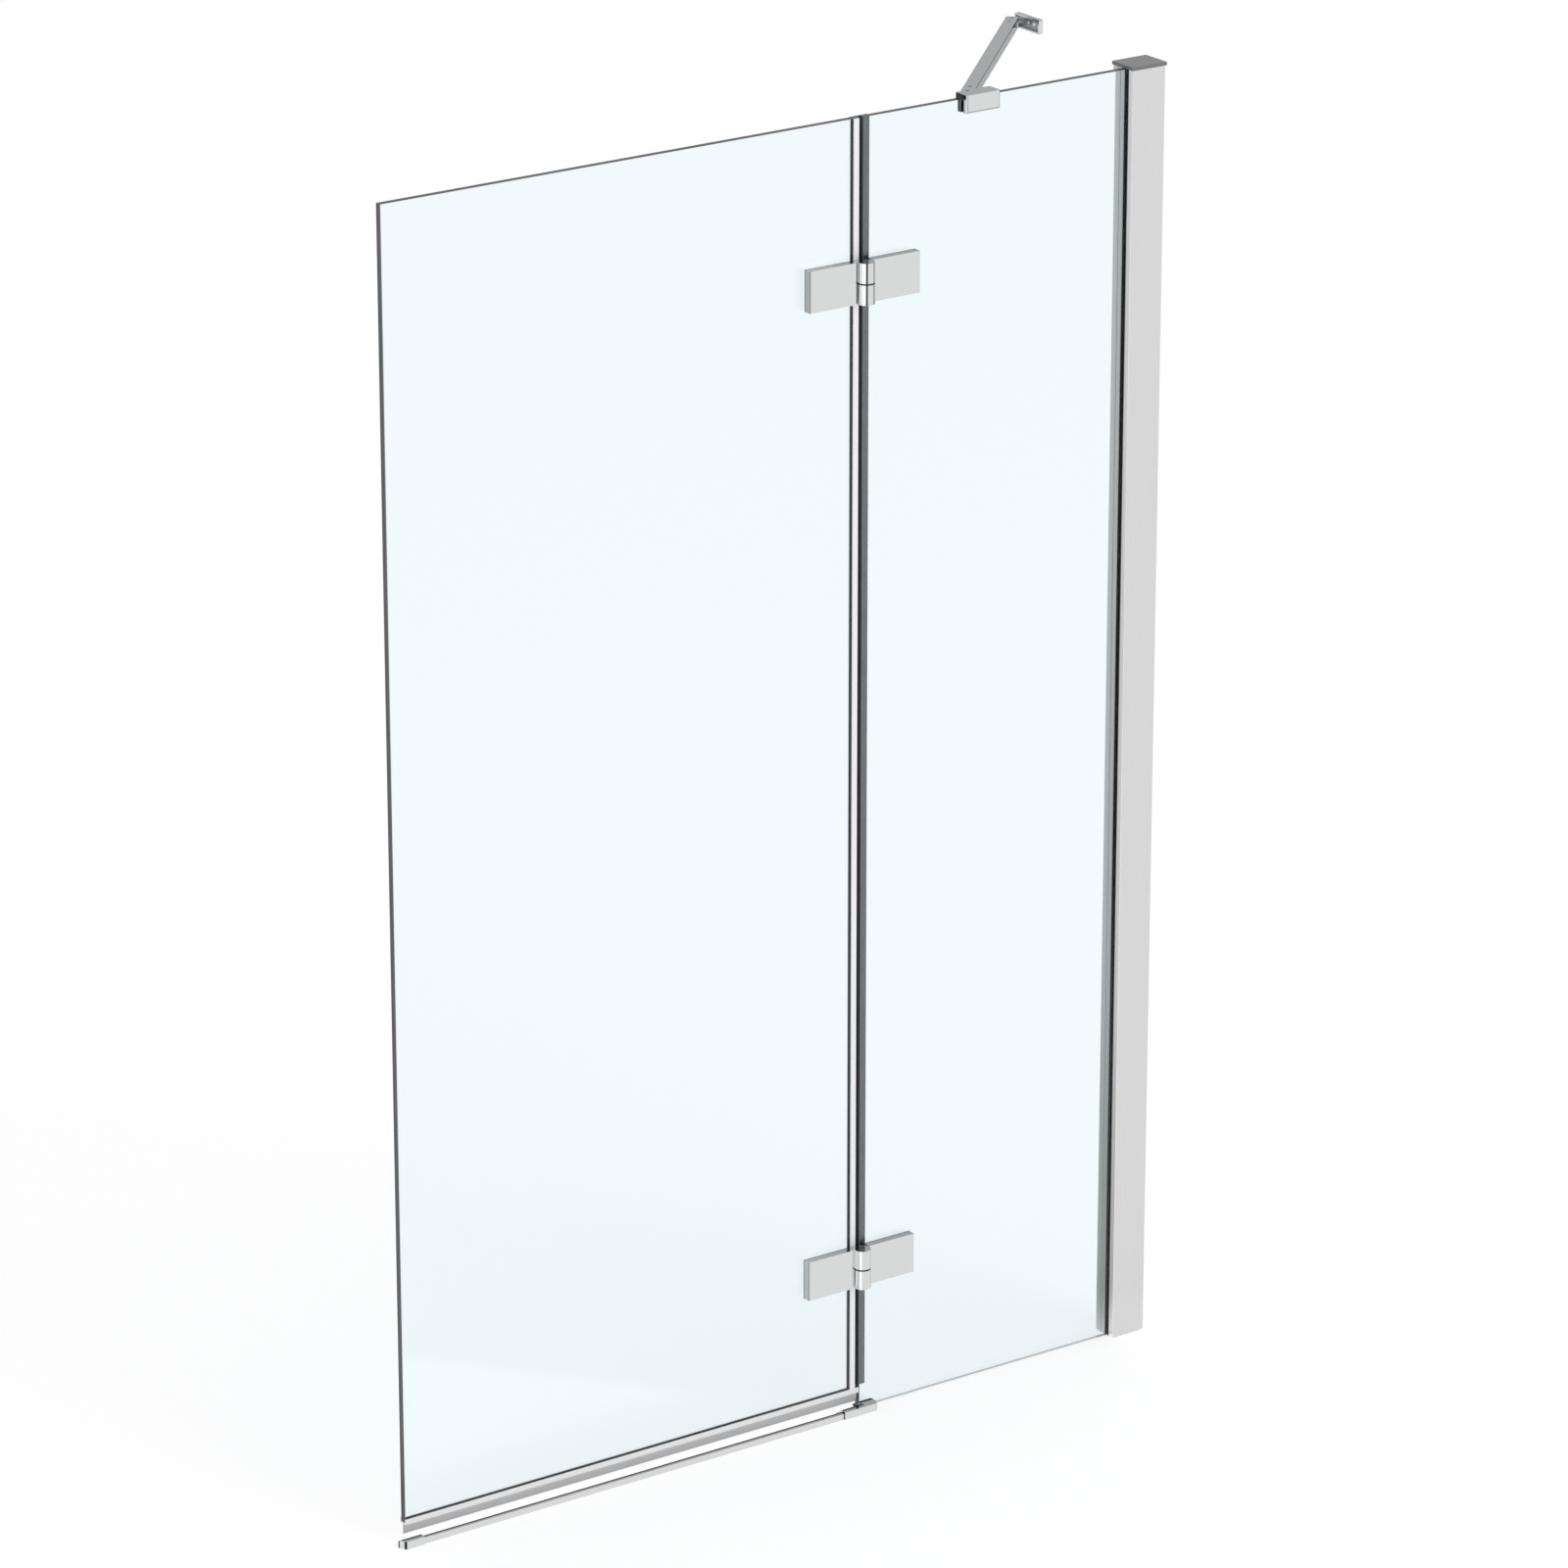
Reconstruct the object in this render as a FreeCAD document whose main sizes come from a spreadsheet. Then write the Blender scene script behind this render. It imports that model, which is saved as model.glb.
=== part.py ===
"""A two-panel glass bath screen: a fixed pane in a wall profile, a moving pane on two rise-and-fall hinges,
a brace to the wall and a threshold strip on the bath rim.

Millimetres. The origin is on the wall face, on the mid-plane of the glass, at the level of the bath rim.
+X points at the wall, +Y to the brace's side, +Z up.
"""

import FreeCAD, Part

import math
import os

import Sketcher

SIZES = {
    # the screen as a whole
    "screen_width": 1000.0,  # wall face to the free edge of the moving pane
    "screen_height": 1500.0,  # bath rim to the top of the glass
    "glass_thickness": 8.0,
    "glass_seam": 0.8,  # bevel ground on the long edges of each pane
    "hinge_reach": 401.0,  # wall face to the hinge axis
    "pane_gap": 7.4,  # between the two panes
    "fixed_pane_lift": 1.5,  # rim to the bottom of the fixed pane
    "moving_pane_lift": 23.5,  # rim to the bottom of the moving pane
    # wall channel and glass profile
    "profile_reach": 45.1,  # wall face to the profile's front lip
    "profile_start": 5.0,  # wall face to the open side of the glass profile
    "profile_half_depth": 13.0,  # glass mid-plane to either outer face
    "profile_wall": 1.5,
    "profile_round": 0.6,
    "slot_floor_reach": 24.0,  # wall face to the floor of the glass slot
    "fixed_pane_reach": 28.0,  # wall face to the hidden edge of the fixed pane
    "slot_gasket": 0.9,  # thickness on each side of the glass
    "slot_gasket_lip": 0.6,  # how far the gaskets stand out of the slot
    "slide_gap": 0.3,  # between the profile and the channel
    "channel_base": 2.0,
    "channel_leg": 1.6,
    "channel_leg_reach": 36.0,
    "channel_chamber_depth": 9.0,
    "profile_screw_radius": 1.9,
    "profile_screw_gap": 0.1,
    "profile_screw_head_radius": 3.6,
    "profile_screw_head": 2.2,
    "profile_screw_length": 14.5,
    "profile_screw_reach": 33.0,
    "profile_screw_inset": 250.0,  # top and bottom ends of the profile to the nearest screw
    "wall_hole_radius": 3.0,
    "wall_hole_inset": 150.0,
    "support_block_length": 16.0,
    "cap_thickness": 3.8,
    "cap_overhang": 1.3,
    "cap_plug_depth": 12.0,
    "cap_plug_wall": 1.6,
    # hinges
    "hinge_inset": 178.5,  # top and bottom of the screen to the nearest hinge centre
    "leaf_height": 46.4,
    "leaf_thickness": 9.0,
    "leaf_reach": 72.0,  # axis to the outer edge of a leaf
    "leaf_root": 10.0,  # axis to the inner edge of a leaf
    "leaf_bevel": 1.0,
    "leaf_gasket": 1.0,
    "leaf_fold_gap": 3.0,  # between two leaves folded flat on each other
    "barrel_radius": 9.4,
    "knuckle_gap": 0.8,
    "pin_radius": 4.0,
    "pin_half_length": 19.0,
    "pin_flat": 0.8,  # depth of the flat that keys the pin in the moving knuckle
    "pin_running_gap": 0.05,
    "pin_end_gap": 0.3,
    "cam_radius": 6.5,
    "cam_seat_gap": 0.25,
    "cam_depth": 11.0,  # split of the barrel to the seat of a cam
    "cam_bore_gap": 0.1,
    "cam_face_gap": 0.1,
    "cam_rise": 5.0,  # lift over the whole swing
    "swing_angle": 120.0,
    "leaf_screw_radius": 4.0,
    "leaf_screw_head_radius": 8.0,
    "leaf_screw_grip": 6.5,  # how far a screw goes into the leaf
    "leaf_screw_gap": 0.1,
    "leaf_screw_end_gap": 0.3,
    "leaf_screw_socket": 2.9,
    "leaf_screw_socket_depth": 2.5,
    "glass_hole_radius": 6.5,
    "glass_hole_sink": 4.0,  # depth and width of the countersink at the back of the glass
    "bush_gap": 0.2,
    # seals
    "seal_wall": 1.2,
    "seal_leg": 5.6,
    "seal_lip_overlap": 11.3,  # over the back of the fixed pane
    "seal_lip_gap": 0.3,
    "bottom_seal_web": 2.2,
    "bottom_seal_leg": 4.0,
    "bottom_lip_width": 1.4,
    "bottom_lip_lean": 0.8,
    "bottom_lip_gap": 0.3,  # over the caps of the threshold
    "bottom_seal_end_gap": 1.0,  # to the edge of the fixed pane, also the step of the connector
    # threshold strip
    "bar_front": 18.3,  # glass mid-plane to the front of the bar
    "bar_height": 7.2,
    "bar_top_width": 5.6,
    "bar_toe": 2.5,  # glass mid-plane to the toe of the slope
    "bar_toe_height": 1.2,
    "bar_wall": 1.3,
    "bar_round": 0.6,
    "bar_end_gap": 4.0,  # hinge axis to the inner end of the bar
    "threshold_cap_wall": 1.3,
    "threshold_cap_top": 2.0,
    "threshold_cap_toe": 1.0,
    "threshold_sleeve_gap": 0.2,
    "end_cap_overhang": 7.8,
    "end_cap_sleeve": 15.3,
    "end_cap_bulge": 5.0,
    "connector_sleeve": 22.0,
    "connector_tail": 17.3,  # edge of the fixed pane to the end of the connector
    "connector_corner": 4.2,
    "connector_foot_back": 6.6,
    "connector_lip_height": 2.5,
    "connector_lip": 2.0,
    "threshold_liner": 1.0,
    "threshold_liner_end_gap": 1.0,
    # brace
    "brace_angle": 45.0,
    "brace_root_reach": 249.9,  # wall face to the root of the arm on the clamp
    "brace_pivot_reach": 23.4,  # wall face to the pivot of the bracket
    "brace_rise": 4.6,  # top of the glass to the top of the brace
    "arm_width": 14.0,
    "arm_height": 12.4,
    "arm_bevel": 0.6,
    "arm_groove": 0.8,  # along both sides of the arm
    "arm_groove_drop": 0.8,  # top of the arm to its grooves
    "arm_end_overhang": 5.0,
    "brace_pin_spacing": 18.0,
    "brace_pin_radius": 1.3,
    "brace_pin_head_radius": 1.9,
    "brace_pin_head": 1.0,
    "brace_pin_gap": 0.1,
    "clamp_pin_depth": 2.1,
    "tongue_width": 5.0,
    "tongue_thickness": 6.0,
    "tongue_gap": 0.15,
    "tongue_tail": 3.0,
    "tongue_round_share": 0.96,  # of the half width, at the round end
    "clamp_run": 28.9,  # root of the arm to the near end of the clamp
    "clamp_length": 45.0,
    "clamp_front": 10.0,
    "clamp_back": 10.5,
    "clamp_height": 20.2,
    "clamp_round": 3.0,
    "clamp_rear_round": 0.6,
    "clamp_bevel": 2.0,  # along the bottom of the front
    "clamp_liner": 0.8,
    "clamp_screw_radius": 2.0,
    "clamp_screw_socket": 1.1,
    "clamp_screw_gap": 0.1,
    "clamp_screw_socket_depth": 2.0,
    "clamp_screw_recess": 0.3,  # back of the clamp to the end of the screw
    "clamp_screw_drop": 10.0,  # top of the glass to the screw
    "bracket_thickness": 5.6,
    "bracket_height": 16.1,
    "bracket_rise": 4.0,  # top of the glass to the top of the bracket
    "bracket_near": 26.4,  # pivot to the end of the plate nearer the glass
    "bracket_far": 18.7,
    "bracket_rim": 1.8,
    "bracket_web": 2.2,
    "bracket_round": 1.0,
    "lug_thickness": 4.5,
    "lug_radius": 7.0,
    "lug_rise": 2.85,  # top of the glass down to the middle of the lug
    "fork_gap": 0.3,
    "bracket_pin_radius": 1.8,
    "bracket_hole_radius": 2.25,
    "bracket_hole_spacing": 25.0,
}

doc = FreeCAD.newDocument("bath_screen")
sheet = doc.addObject("Spreadsheet::Sheet", "Sizes")


class Size:
    """A length: the number it has now, and the expression that gives it from the sheet."""

    def __init__(self, value, text):
        self.value = value
        self.text = text

    def __add__(self, other):
        other = as_size(other)
        return Size(self.value + other.value, f"({self.text} + {other.text})")

    def __sub__(self, other):
        other = as_size(other)
        return Size(self.value - other.value, f"({self.text} - {other.text})")

    def __mul__(self, other):
        other = as_size(other)
        return Size(self.value * other.value, f"{self.text} * {other.text}")

    def __truediv__(self, other):
        other = as_size(other)
        return Size(self.value / other.value, f"{self.text} / ({other.text})")

    def __rmul__(self, other):
        return as_size(other) * self

    def __radd__(self, other):
        return as_size(other) + self

    def __rsub__(self, other):
        return as_size(other) - self

    def __neg__(self):
        return Size(-self.value, f"(0 - {self.text})")


def as_size(number):
    return number if isinstance(number, Size) else Size(float(number), f"{number}")


def sine(angle):
    return Size(math.sin(math.radians(angle.value)), f"sin({angle.text})")


def cosine(angle):
    return Size(math.cos(math.radians(angle.value)), f"cos({angle.text})")


def tangent(angle):
    return Size(math.tan(math.radians(angle.value)), f"tan({angle.text})")


def fill_sheet():
    """Write each size into the sheet under its own name."""
    for row, (name, value) in enumerate(SIZES.items(), start=1):
        sheet.set(f"A{row}", name)
        sheet.set(f"B{row}", str(value))
        sheet.setAlias(f"B{row}", name)
    doc.recompute()


fill_sheet()


def size(name):
    return Size(SIZES[name], f"Sizes.{name}")


def bind(thing, prop, length):
    """Tie a property to the sheet."""
    thing.setExpression(prop, as_size(length).text)


# bodies, sketches and features

NORMAL_SIGN = {"XY_Plane": 1, "YZ_Plane": 1, "XZ_Plane": -1}
ZERO = as_size(0)


def new_body(label, place=(ZERO, ZERO, ZERO), turn=None):
    """A body at its place, turned about an axis through it where turn gives (axis, angle)."""
    body = doc.addObject("PartDesign::Body", label)
    body.Label = label
    if turn is not None:
        axis, angle = turn
        rotation = FreeCAD.Rotation(FreeCAD.Vector(*axis), angle.value)
        body.Placement = FreeCAD.Placement(FreeCAD.Vector(), rotation)
        bind(body, "Placement.Rotation.Angle", angle)
    for letter, length in zip("xyz", place):
        bind(body, f"Placement.Base.{letter}", length)
    return body


def origin_feature(body, role):
    return next(feature for feature in body.Origin.OriginFeatures if feature.Role == role)


def new_sketch(body, role, level):
    """An empty sketch on an origin plane of the body, moved along the plane's own axis to level."""
    sketch = body.newObject("Sketcher::SketchObject", f"{body.Label}_sketch")
    sketch.AttachmentSupport = [(origin_feature(body, role), "")]
    sketch.MapMode = "FlatFace"
    bind(sketch, "AttachmentOffset.Base.z", as_size(level) * NORMAL_SIGN[role])
    return sketch


def unit(start, end):
    step = end - start
    return step.normalize()


def left_arc(centre, start, end):
    """The arc about centre that runs anticlockwise from start to end."""
    first = start - centre
    last = end - centre
    circle = Part.Circle(centre, FreeCAD.Vector(0, 0, 1), first.Length)
    return Part.ArcOfCircle(circle, math.atan2(first.y, first.x), math.atan2(last.y, last.x))


def draw_outline(sketch, corners):
    """Close an outline through the corners: (u, v), or (u, v, radius) for a rounded one."""
    corners = [tuple(as_size(number) for number in corner) for corner in corners]
    points = [FreeCAD.Vector(corner[0].value, corner[1].value, 0) for corner in corners]
    count = len(corners)
    starts = list(points)
    ends = list(points)
    rounds = {}
    for i, corner in enumerate(corners):
        if len(corner) < 3:
            continue
        back = unit(points[i], points[i - 1])
        ahead = unit(points[i], points[(i + 1) % count])
        half = back.getAngle(ahead) / 2
        reach = corner[2].value / math.tan(half)
        ends[i] = points[i] + back * reach
        starts[i] = points[i] + ahead * reach
        middle_way = (back + ahead).normalize()
        centre = points[i] + middle_way * (corner[2].value / math.sin(half))
        turns_left = ahead.cross(back).z > 0
        rounds[i] = (centre, turns_left)
    for i in range(count):
        sketch.addGeometry(Part.LineSegment(starts[i], ends[(i + 1) % count]), False)
    constraints = []
    bound = []

    def hold(kind, geometry, vertex, u, v):
        for name, length in (("DistanceX", u), ("DistanceY", v)):
            bound.append((len(constraints), length))
            constraints.append(Sketcher.Constraint(name, -1, 1, geometry, vertex, length.value))

    for i, corner in enumerate(corners):
        before = (i - 1) % count
        if i not in rounds:
            constraints.append(Sketcher.Constraint("Coincident", before, 2, i, 1))
            hold("line", i, 1, corner[0], corner[1])
            continue
        centre, turns_left = rounds[i]
        arc_ends = (ends[i], starts[i]) if turns_left else (starts[i], ends[i])
        arc_index = sketch.addGeometry(left_arc(centre, *arc_ends), False)
        point_index = sketch.addGeometry(Part.Point(points[i]), True)
        first = 1 if turns_left else 2
        constraints.append(Sketcher.Constraint("Tangent", before, 2, arc_index, first))
        constraints.append(Sketcher.Constraint("Tangent", arc_index, 3 - first, i, 1))
        bound.append((len(constraints), corner[2]))
        constraints.append(Sketcher.Constraint("Radius", arc_index, corner[2].value))
        constraints.append(Sketcher.Constraint("PointOnObject", point_index, 1, before))
        constraints.append(Sketcher.Constraint("PointOnObject", point_index, 1, i))
        hold("corner", point_index, 1, corner[0], corner[1])
    sketch.addConstraint(constraints)
    for index, length in bound:
        bind(sketch, f"Constraints[{index}]", length)


def draw_circles(sketch, centres, radius):
    for u, v in centres:
        centre = FreeCAD.Vector(as_size(u).value, as_size(v).value, 0)
        circle = sketch.addGeometry(Part.Circle(centre, FreeCAD.Vector(0, 0, 1), radius.value), False)
        across = sketch.addConstraint(Sketcher.Constraint("DistanceX", -1, 1, circle, 3, centre.x))
        bind(sketch, f"Constraints[{across}]", u)
        along = sketch.addConstraint(Sketcher.Constraint("DistanceY", -1, 1, circle, 3, centre.y))
        bind(sketch, f"Constraints[{along}]", v)
        wide = sketch.addConstraint(Sketcher.Constraint("Radius", circle, radius.value))
        bind(sketch, f"Constraints[{wide}]", radius)


def draw_flatted_circle(sketch, radius, flat):
    """A circle about the sketch's origin with a flat across its top at the height flat."""
    half = math.sqrt(radius.value**2 - flat.value**2)
    right = FreeCAD.Vector(half, flat.value, 0)
    left = FreeCAD.Vector(-half, flat.value, 0)
    arc = sketch.addGeometry(left_arc(FreeCAD.Vector(), left, right), False)
    line = sketch.addGeometry(Part.LineSegment(right, left), False)
    sketch.addConstraint(
        [
            Sketcher.Constraint("Coincident", arc, 3, -1, 1),
            Sketcher.Constraint("Coincident", arc, 1, line, 2),
            Sketcher.Constraint("Coincident", arc, 2, line, 1),
            Sketcher.Constraint("Horizontal", line),
        ]
    )
    wide = sketch.addConstraint(Sketcher.Constraint("Radius", arc, radius.value))
    bind(sketch, f"Constraints[{wide}]", radius)
    high = sketch.addConstraint(Sketcher.Constraint("DistanceY", -1, 1, line, 1, flat.value))
    bind(sketch, f"Constraints[{high}]", flat)


def pad(body, sketch, length):
    feature = body.newObject("PartDesign::Pad", f"{body.Label}_pad")
    feature.Profile = sketch
    bind(feature, "Length", length)
    sketch.Visibility = False
    return feature


def pocket(body, sketch, length):
    feature = body.newObject("PartDesign::Pocket", f"{body.Label}_pocket")
    feature.Profile = sketch
    bind(feature, "Length", length)
    sketch.Visibility = False
    return feature


def level_of(role, low, high, near_normal):
    """The end of a span that lies towards the plane's normal, or the other one."""
    return high if (NORMAL_SIGN[role] > 0) == near_normal else low


def add_slab(body, role, corners, low, high):
    """Pad an outline from low to high along the axis of its plane."""
    sketch = new_sketch(body, role, level_of(role, low, high, False))
    draw_outline(sketch, corners)
    return pad(body, sketch, high - low)


def add_rod(body, role, centres, radius, low, high):
    sketch = new_sketch(body, role, level_of(role, low, high, False))
    draw_circles(sketch, centres, radius)
    return pad(body, sketch, high - low)


def cut_slab(body, role, corners, low, high):
    """Cut an outline out of the body from high to low along the axis of its plane."""
    sketch = new_sketch(body, role, level_of(role, low, high, True))
    draw_outline(sketch, corners)
    return pocket(body, sketch, high - low)


def cut_rod(body, role, centres, radius, low, high):
    sketch = new_sketch(body, role, level_of(role, low, high, True))
    draw_circles(sketch, centres, radius)
    return pocket(body, sketch, high - low)


def box(u_low, u_high, v_low, v_high):
    """The four corners of a rectangle."""
    return [(u_low, v_low), (u_high, v_low), (u_high, v_high), (u_low, v_high)]


def rounded(corners, radius):
    return [(*corner, radius) for corner in corners]


def turned(body, role, corners, axis="V_Axis"):
    """Turn an outline about an axis of its sketch."""
    sketch = new_sketch(body, role, ZERO)
    draw_outline(sketch, corners)
    feature = body.newObject("PartDesign::Revolution", f"{body.Label}_turn")
    feature.Profile = sketch
    feature.ReferenceAxis = (sketch, [axis])
    feature.Angle = 360.0
    sketch.Visibility = False
    return feature


def turned_cut(body, role, level, axis_u, corners):
    """Cut an outline turned about the line u = axis_u of its sketch."""
    sketch = new_sketch(body, role, level)
    draw_outline(sketch, corners)
    low = FreeCAD.Vector(axis_u.value, -1, 0)
    high = FreeCAD.Vector(axis_u.value, 1, 0)
    line = sketch.addGeometry(Part.LineSegment(low, high), True)
    sketch.addConstraint(Sketcher.Constraint("Vertical", line))
    place = sketch.addConstraint(Sketcher.Constraint("DistanceX", -1, 1, line, 1, axis_u.value))
    bind(sketch, f"Constraints[{place}]", axis_u)
    feature = body.newObject("PartDesign::Groove", f"{body.Label}_groove")
    feature.Profile = sketch
    feature.ReferenceAxis = (sketch, ["Axis0"])
    feature.Angle = 360.0
    sketch.Visibility = False
    return feature


def repeat(body, originals, role, distance):
    """Repeat features once, this far along an axis of the body."""
    pattern = body.newObject("PartDesign::LinearPattern", f"{body.Label}_row")
    pattern.Originals = originals
    pattern.Direction = (origin_feature(body, role), [""])
    bind(pattern, "Length", distance)
    pattern.Occurrences = 2
    body.Tip = pattern


def edge_names(feature, wanted):
    """The names of the feature's edges for which wanted(edge) holds."""
    doc.recompute()
    return [f"Edge{i}" for i, edge in enumerate(feature.Shape.Edges, start=1) if wanted(edge)]


def along(edge, letter):
    """Whether a straight edge runs along the axis of this letter."""
    first, last = (vertex.Point for vertex in (edge.Vertexes[0], edge.Vertexes[-1]))
    step = last - first
    return step.Length > 0 and abs(abs(getattr(step, letter)) - step.Length) < 1e-6


def lies_at(edge, letter, length):
    """Whether all of an edge's ends have this coordinate."""
    return all(abs(getattr(vertex.Point, letter) - length.value) < 1e-6 for vertex in edge.Vertexes)


def bevel(body, feature, wanted, length):
    chamfer = body.newObject("PartDesign::Chamfer", f"{body.Label}_bevel")
    chamfer.Base = (feature, edge_names(feature, wanted))
    bind(chamfer, "Size", length)
    return chamfer


SOCKET_SIDES = 6


def cut_socket(body, radius, mouth, depth):
    """A hexagonal hollow for a key, open at mouth on the body's Y axis."""
    turns = [as_size(360 / SOCKET_SIDES * i) for i in range(SOCKET_SIDES)]
    corners = [(radius * cosine(turn), radius * sine(turn)) for turn in turns]
    return cut_slab(body, "XZ_Plane", corners, mouth - depth, mouth)


# places that several pieces share

half_glass = size("glass_thickness") / 2
top = size("screen_height")
axis_x = -size("hinge_reach")
leaf_face = half_glass + size("leaf_gasket")
leaf_front = leaf_face + size("leaf_thickness")
axis_y = -(leaf_front + size("leaf_fold_gap") / 2)
fixed_edge = axis_x + size("pane_gap") / 2
moving_edge = axis_x - size("pane_gap") / 2
free_edge = -size("screen_width")
hinge_levels = {"lower": size("hinge_inset"), "upper": top - size("hinge_inset")}
hinge_distance = hinge_levels["upper"] - hinge_levels["lower"]
leaf_middle = (size("leaf_root") + size("leaf_reach")) / 2
head_low = half_glass - size("glass_hole_sink")
seal_end = fixed_edge - size("bottom_seal_end_gap")


# glass


def pane(label, left, right, bottom):
    """A pane with ground edges, standing from bottom to the top of the screen."""
    body = new_body(label)
    slab = add_slab(body, "XY_Plane", box(left, right, -half_glass, half_glass), bottom, top)
    bevel(body, slab, lambda edge: along(edge, "z"), size("glass_seam"))
    return body


def hinge_holes(body, side):
    """Countersunk holes for the leaf screws, side -1 in the moving pane and 1 in the fixed one."""
    centre = axis_x + side * leaf_middle
    radius = size("glass_hole_radius")
    corners = [
        (centre, -half_glass),
        (centre + radius, -half_glass),
        (centre + radius, head_low),
        (centre + radius + size("glass_hole_sink"), half_glass),
        (centre, half_glass),
    ]
    hole = turned_cut(body, "XY_Plane", hinge_levels["lower"], centre, corners)
    repeat(body, [hole], "Z_Axis", hinge_distance)


def fixed_glass():
    body = pane("fixed_glass", fixed_edge, -size("fixed_pane_reach"), size("fixed_pane_lift"))
    hinge_holes(body, 1)


def moving_glass():
    body = pane("moving_glass", free_edge, moving_edge, size("moving_pane_lift"))
    hinge_holes(body, -1)


# wall channel, glass profile and what they hold

profile_front = -size("profile_half_depth")
profile_back = size("profile_half_depth")
slot_half = half_glass + size("slot_gasket")
chamber_front = profile_back + size("slide_gap")
chamber_back = chamber_front + size("channel_chamber_depth")
channel_front = profile_front + size("profile_wall") + size("slide_gap")
lip = -size("profile_reach")


def wall_channel():
    """The channel on the wall, with one leg inside the glass profile and a chamber behind it."""
    body = new_body("wall_channel")
    leg_inner = channel_front + size("channel_leg")
    base = -size("channel_base")
    outline = [
        (0, channel_front),
        (-size("channel_leg_reach"), channel_front),
        (-size("channel_leg_reach"), leg_inner),
        (base, leg_inner),
        (base, chamber_front),
        (lip, chamber_front),
        (lip, chamber_back, size("profile_round")),
        (0, chamber_back),
    ]
    add_slab(body, "XY_Plane", outline, ZERO, top)
    wall = size("channel_leg")
    inside = box(lip + wall, base, chamber_front + wall, chamber_back - wall)
    cut_slab(body, "XY_Plane", inside, ZERO, top)
    hole_y = (leg_inner + chamber_front) / 2
    inset = size("wall_hole_inset")
    levels = [inset, top / 2, top - inset]
    centres = [(hole_y, level) for level in levels]
    cut_rod(body, "YZ_Plane", centres, size("wall_hole_radius"), base, ZERO)
    screw_holes(body, chamber_front, chamber_back)


def screw_holes(body, low, high):
    """Holes for the screws that lock the glass profile to the channel."""
    radius = size("profile_screw_radius") + size("profile_screw_gap")
    centres = [(-size("profile_screw_reach"), level) for level in profile_screw_levels()]
    cut_rod(body, "XZ_Plane", centres, radius, low, high)


def profile_screw_levels():
    inset = size("profile_screw_inset")
    return [inset, top - inset]


def glass_profile():
    """The profile that holds the fixed pane in a slot and slides over the channel."""
    body = new_body("glass_profile")
    wall = size("profile_wall")
    start = -size("profile_start")
    floor = -size("slot_floor_reach")
    rounding = size("profile_round")
    outline = [
        (start, profile_front),
        (lip, profile_front, rounding),
        (lip, -slot_half),
        (floor, -slot_half),
        (floor, slot_half),
        (lip, slot_half),
        (lip, profile_back, rounding),
        (start, profile_back),
        (start, profile_back - wall),
        (lip + wall, profile_back - wall),
        (lip + wall, slot_half + wall),
        (floor + wall, slot_half + wall),
        (floor + wall, -slot_half - wall),
        (lip + wall, -slot_half - wall),
        (lip + wall, profile_front + wall),
        (start, profile_front + wall),
    ]
    add_slab(body, "XY_Plane", outline, ZERO, top)
    screw_holes(body, profile_back - wall, profile_back)


def profile_fixing_screws():
    """Pan head screws from the back, through the chamber into the glass profile."""
    body = new_body("profile_fixing_screws", (-size("profile_screw_reach"), chamber_back, ZERO))
    radius = size("profile_screw_radius")
    head = size("profile_screw_head")
    head_radius = size("profile_screw_head_radius")
    centres = [(ZERO, level) for level in profile_screw_levels()]
    add_rod(body, "XZ_Plane", centres, radius, -size("profile_screw_length"), head)
    add_rod(body, "XZ_Plane", centres, head_radius, ZERO, head)


def slot_gasket(label, low, high):
    body = new_body(label)
    start = lip - size("slot_gasket_lip")
    end = -size("fixed_pane_reach")
    add_slab(body, "XY_Plane", box(start, end, low, high), ZERO, top)


def glass_support_block():
    """The block in the slot that the fixed pane stands on."""
    body = new_body("glass_support_block")
    end = -size("fixed_pane_reach")
    half = half_glass - size("slide_gap")
    corners = box(end - size("support_block_length"), end, -half, half)
    add_slab(body, "XY_Plane", corners, ZERO, size("fixed_pane_lift"))


def wall_profile_cap():
    """The cap on top of profile and channel, with one plug in each."""
    body = new_body("wall_profile_cap")
    over = size("cap_overhang")
    rounding = size("profile_round")
    left = lip - over
    corners = [
        (left, profile_front - over, rounding),
        (0, profile_front - over),
        (0, chamber_back + over),
        (left, chamber_back + over, rounding),
    ]
    add_slab(body, "XY_Plane", corners, top, top + size("cap_thickness"))
    gap = size("slide_gap")
    plug = size("cap_plug_wall")
    wall = size("channel_leg")
    inner = chamber_front + wall + gap
    depth = top - size("cap_plug_depth")
    chamber_plug = box(lip + wall + gap, -size("channel_base") - gap, inner, inner + plug)
    add_slab(body, "XY_Plane", chamber_plug, depth, top)
    floor = -size("slot_floor_reach") + size("profile_wall") + gap
    profile_plug = box(floor, floor + plug, -slot_half, slot_half)
    add_slab(body, "XY_Plane", profile_plug, depth, top)


# hinges


def turned_place(level, side):
    """Where a hinge piece stands: as drawn for the moving side, half a turn over for the fixed side."""
    half_turn = None if side < 0 else ((0, 1, 0), as_size(180))
    return (axis_x, axis_y, hinge_levels[level]), half_turn


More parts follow.
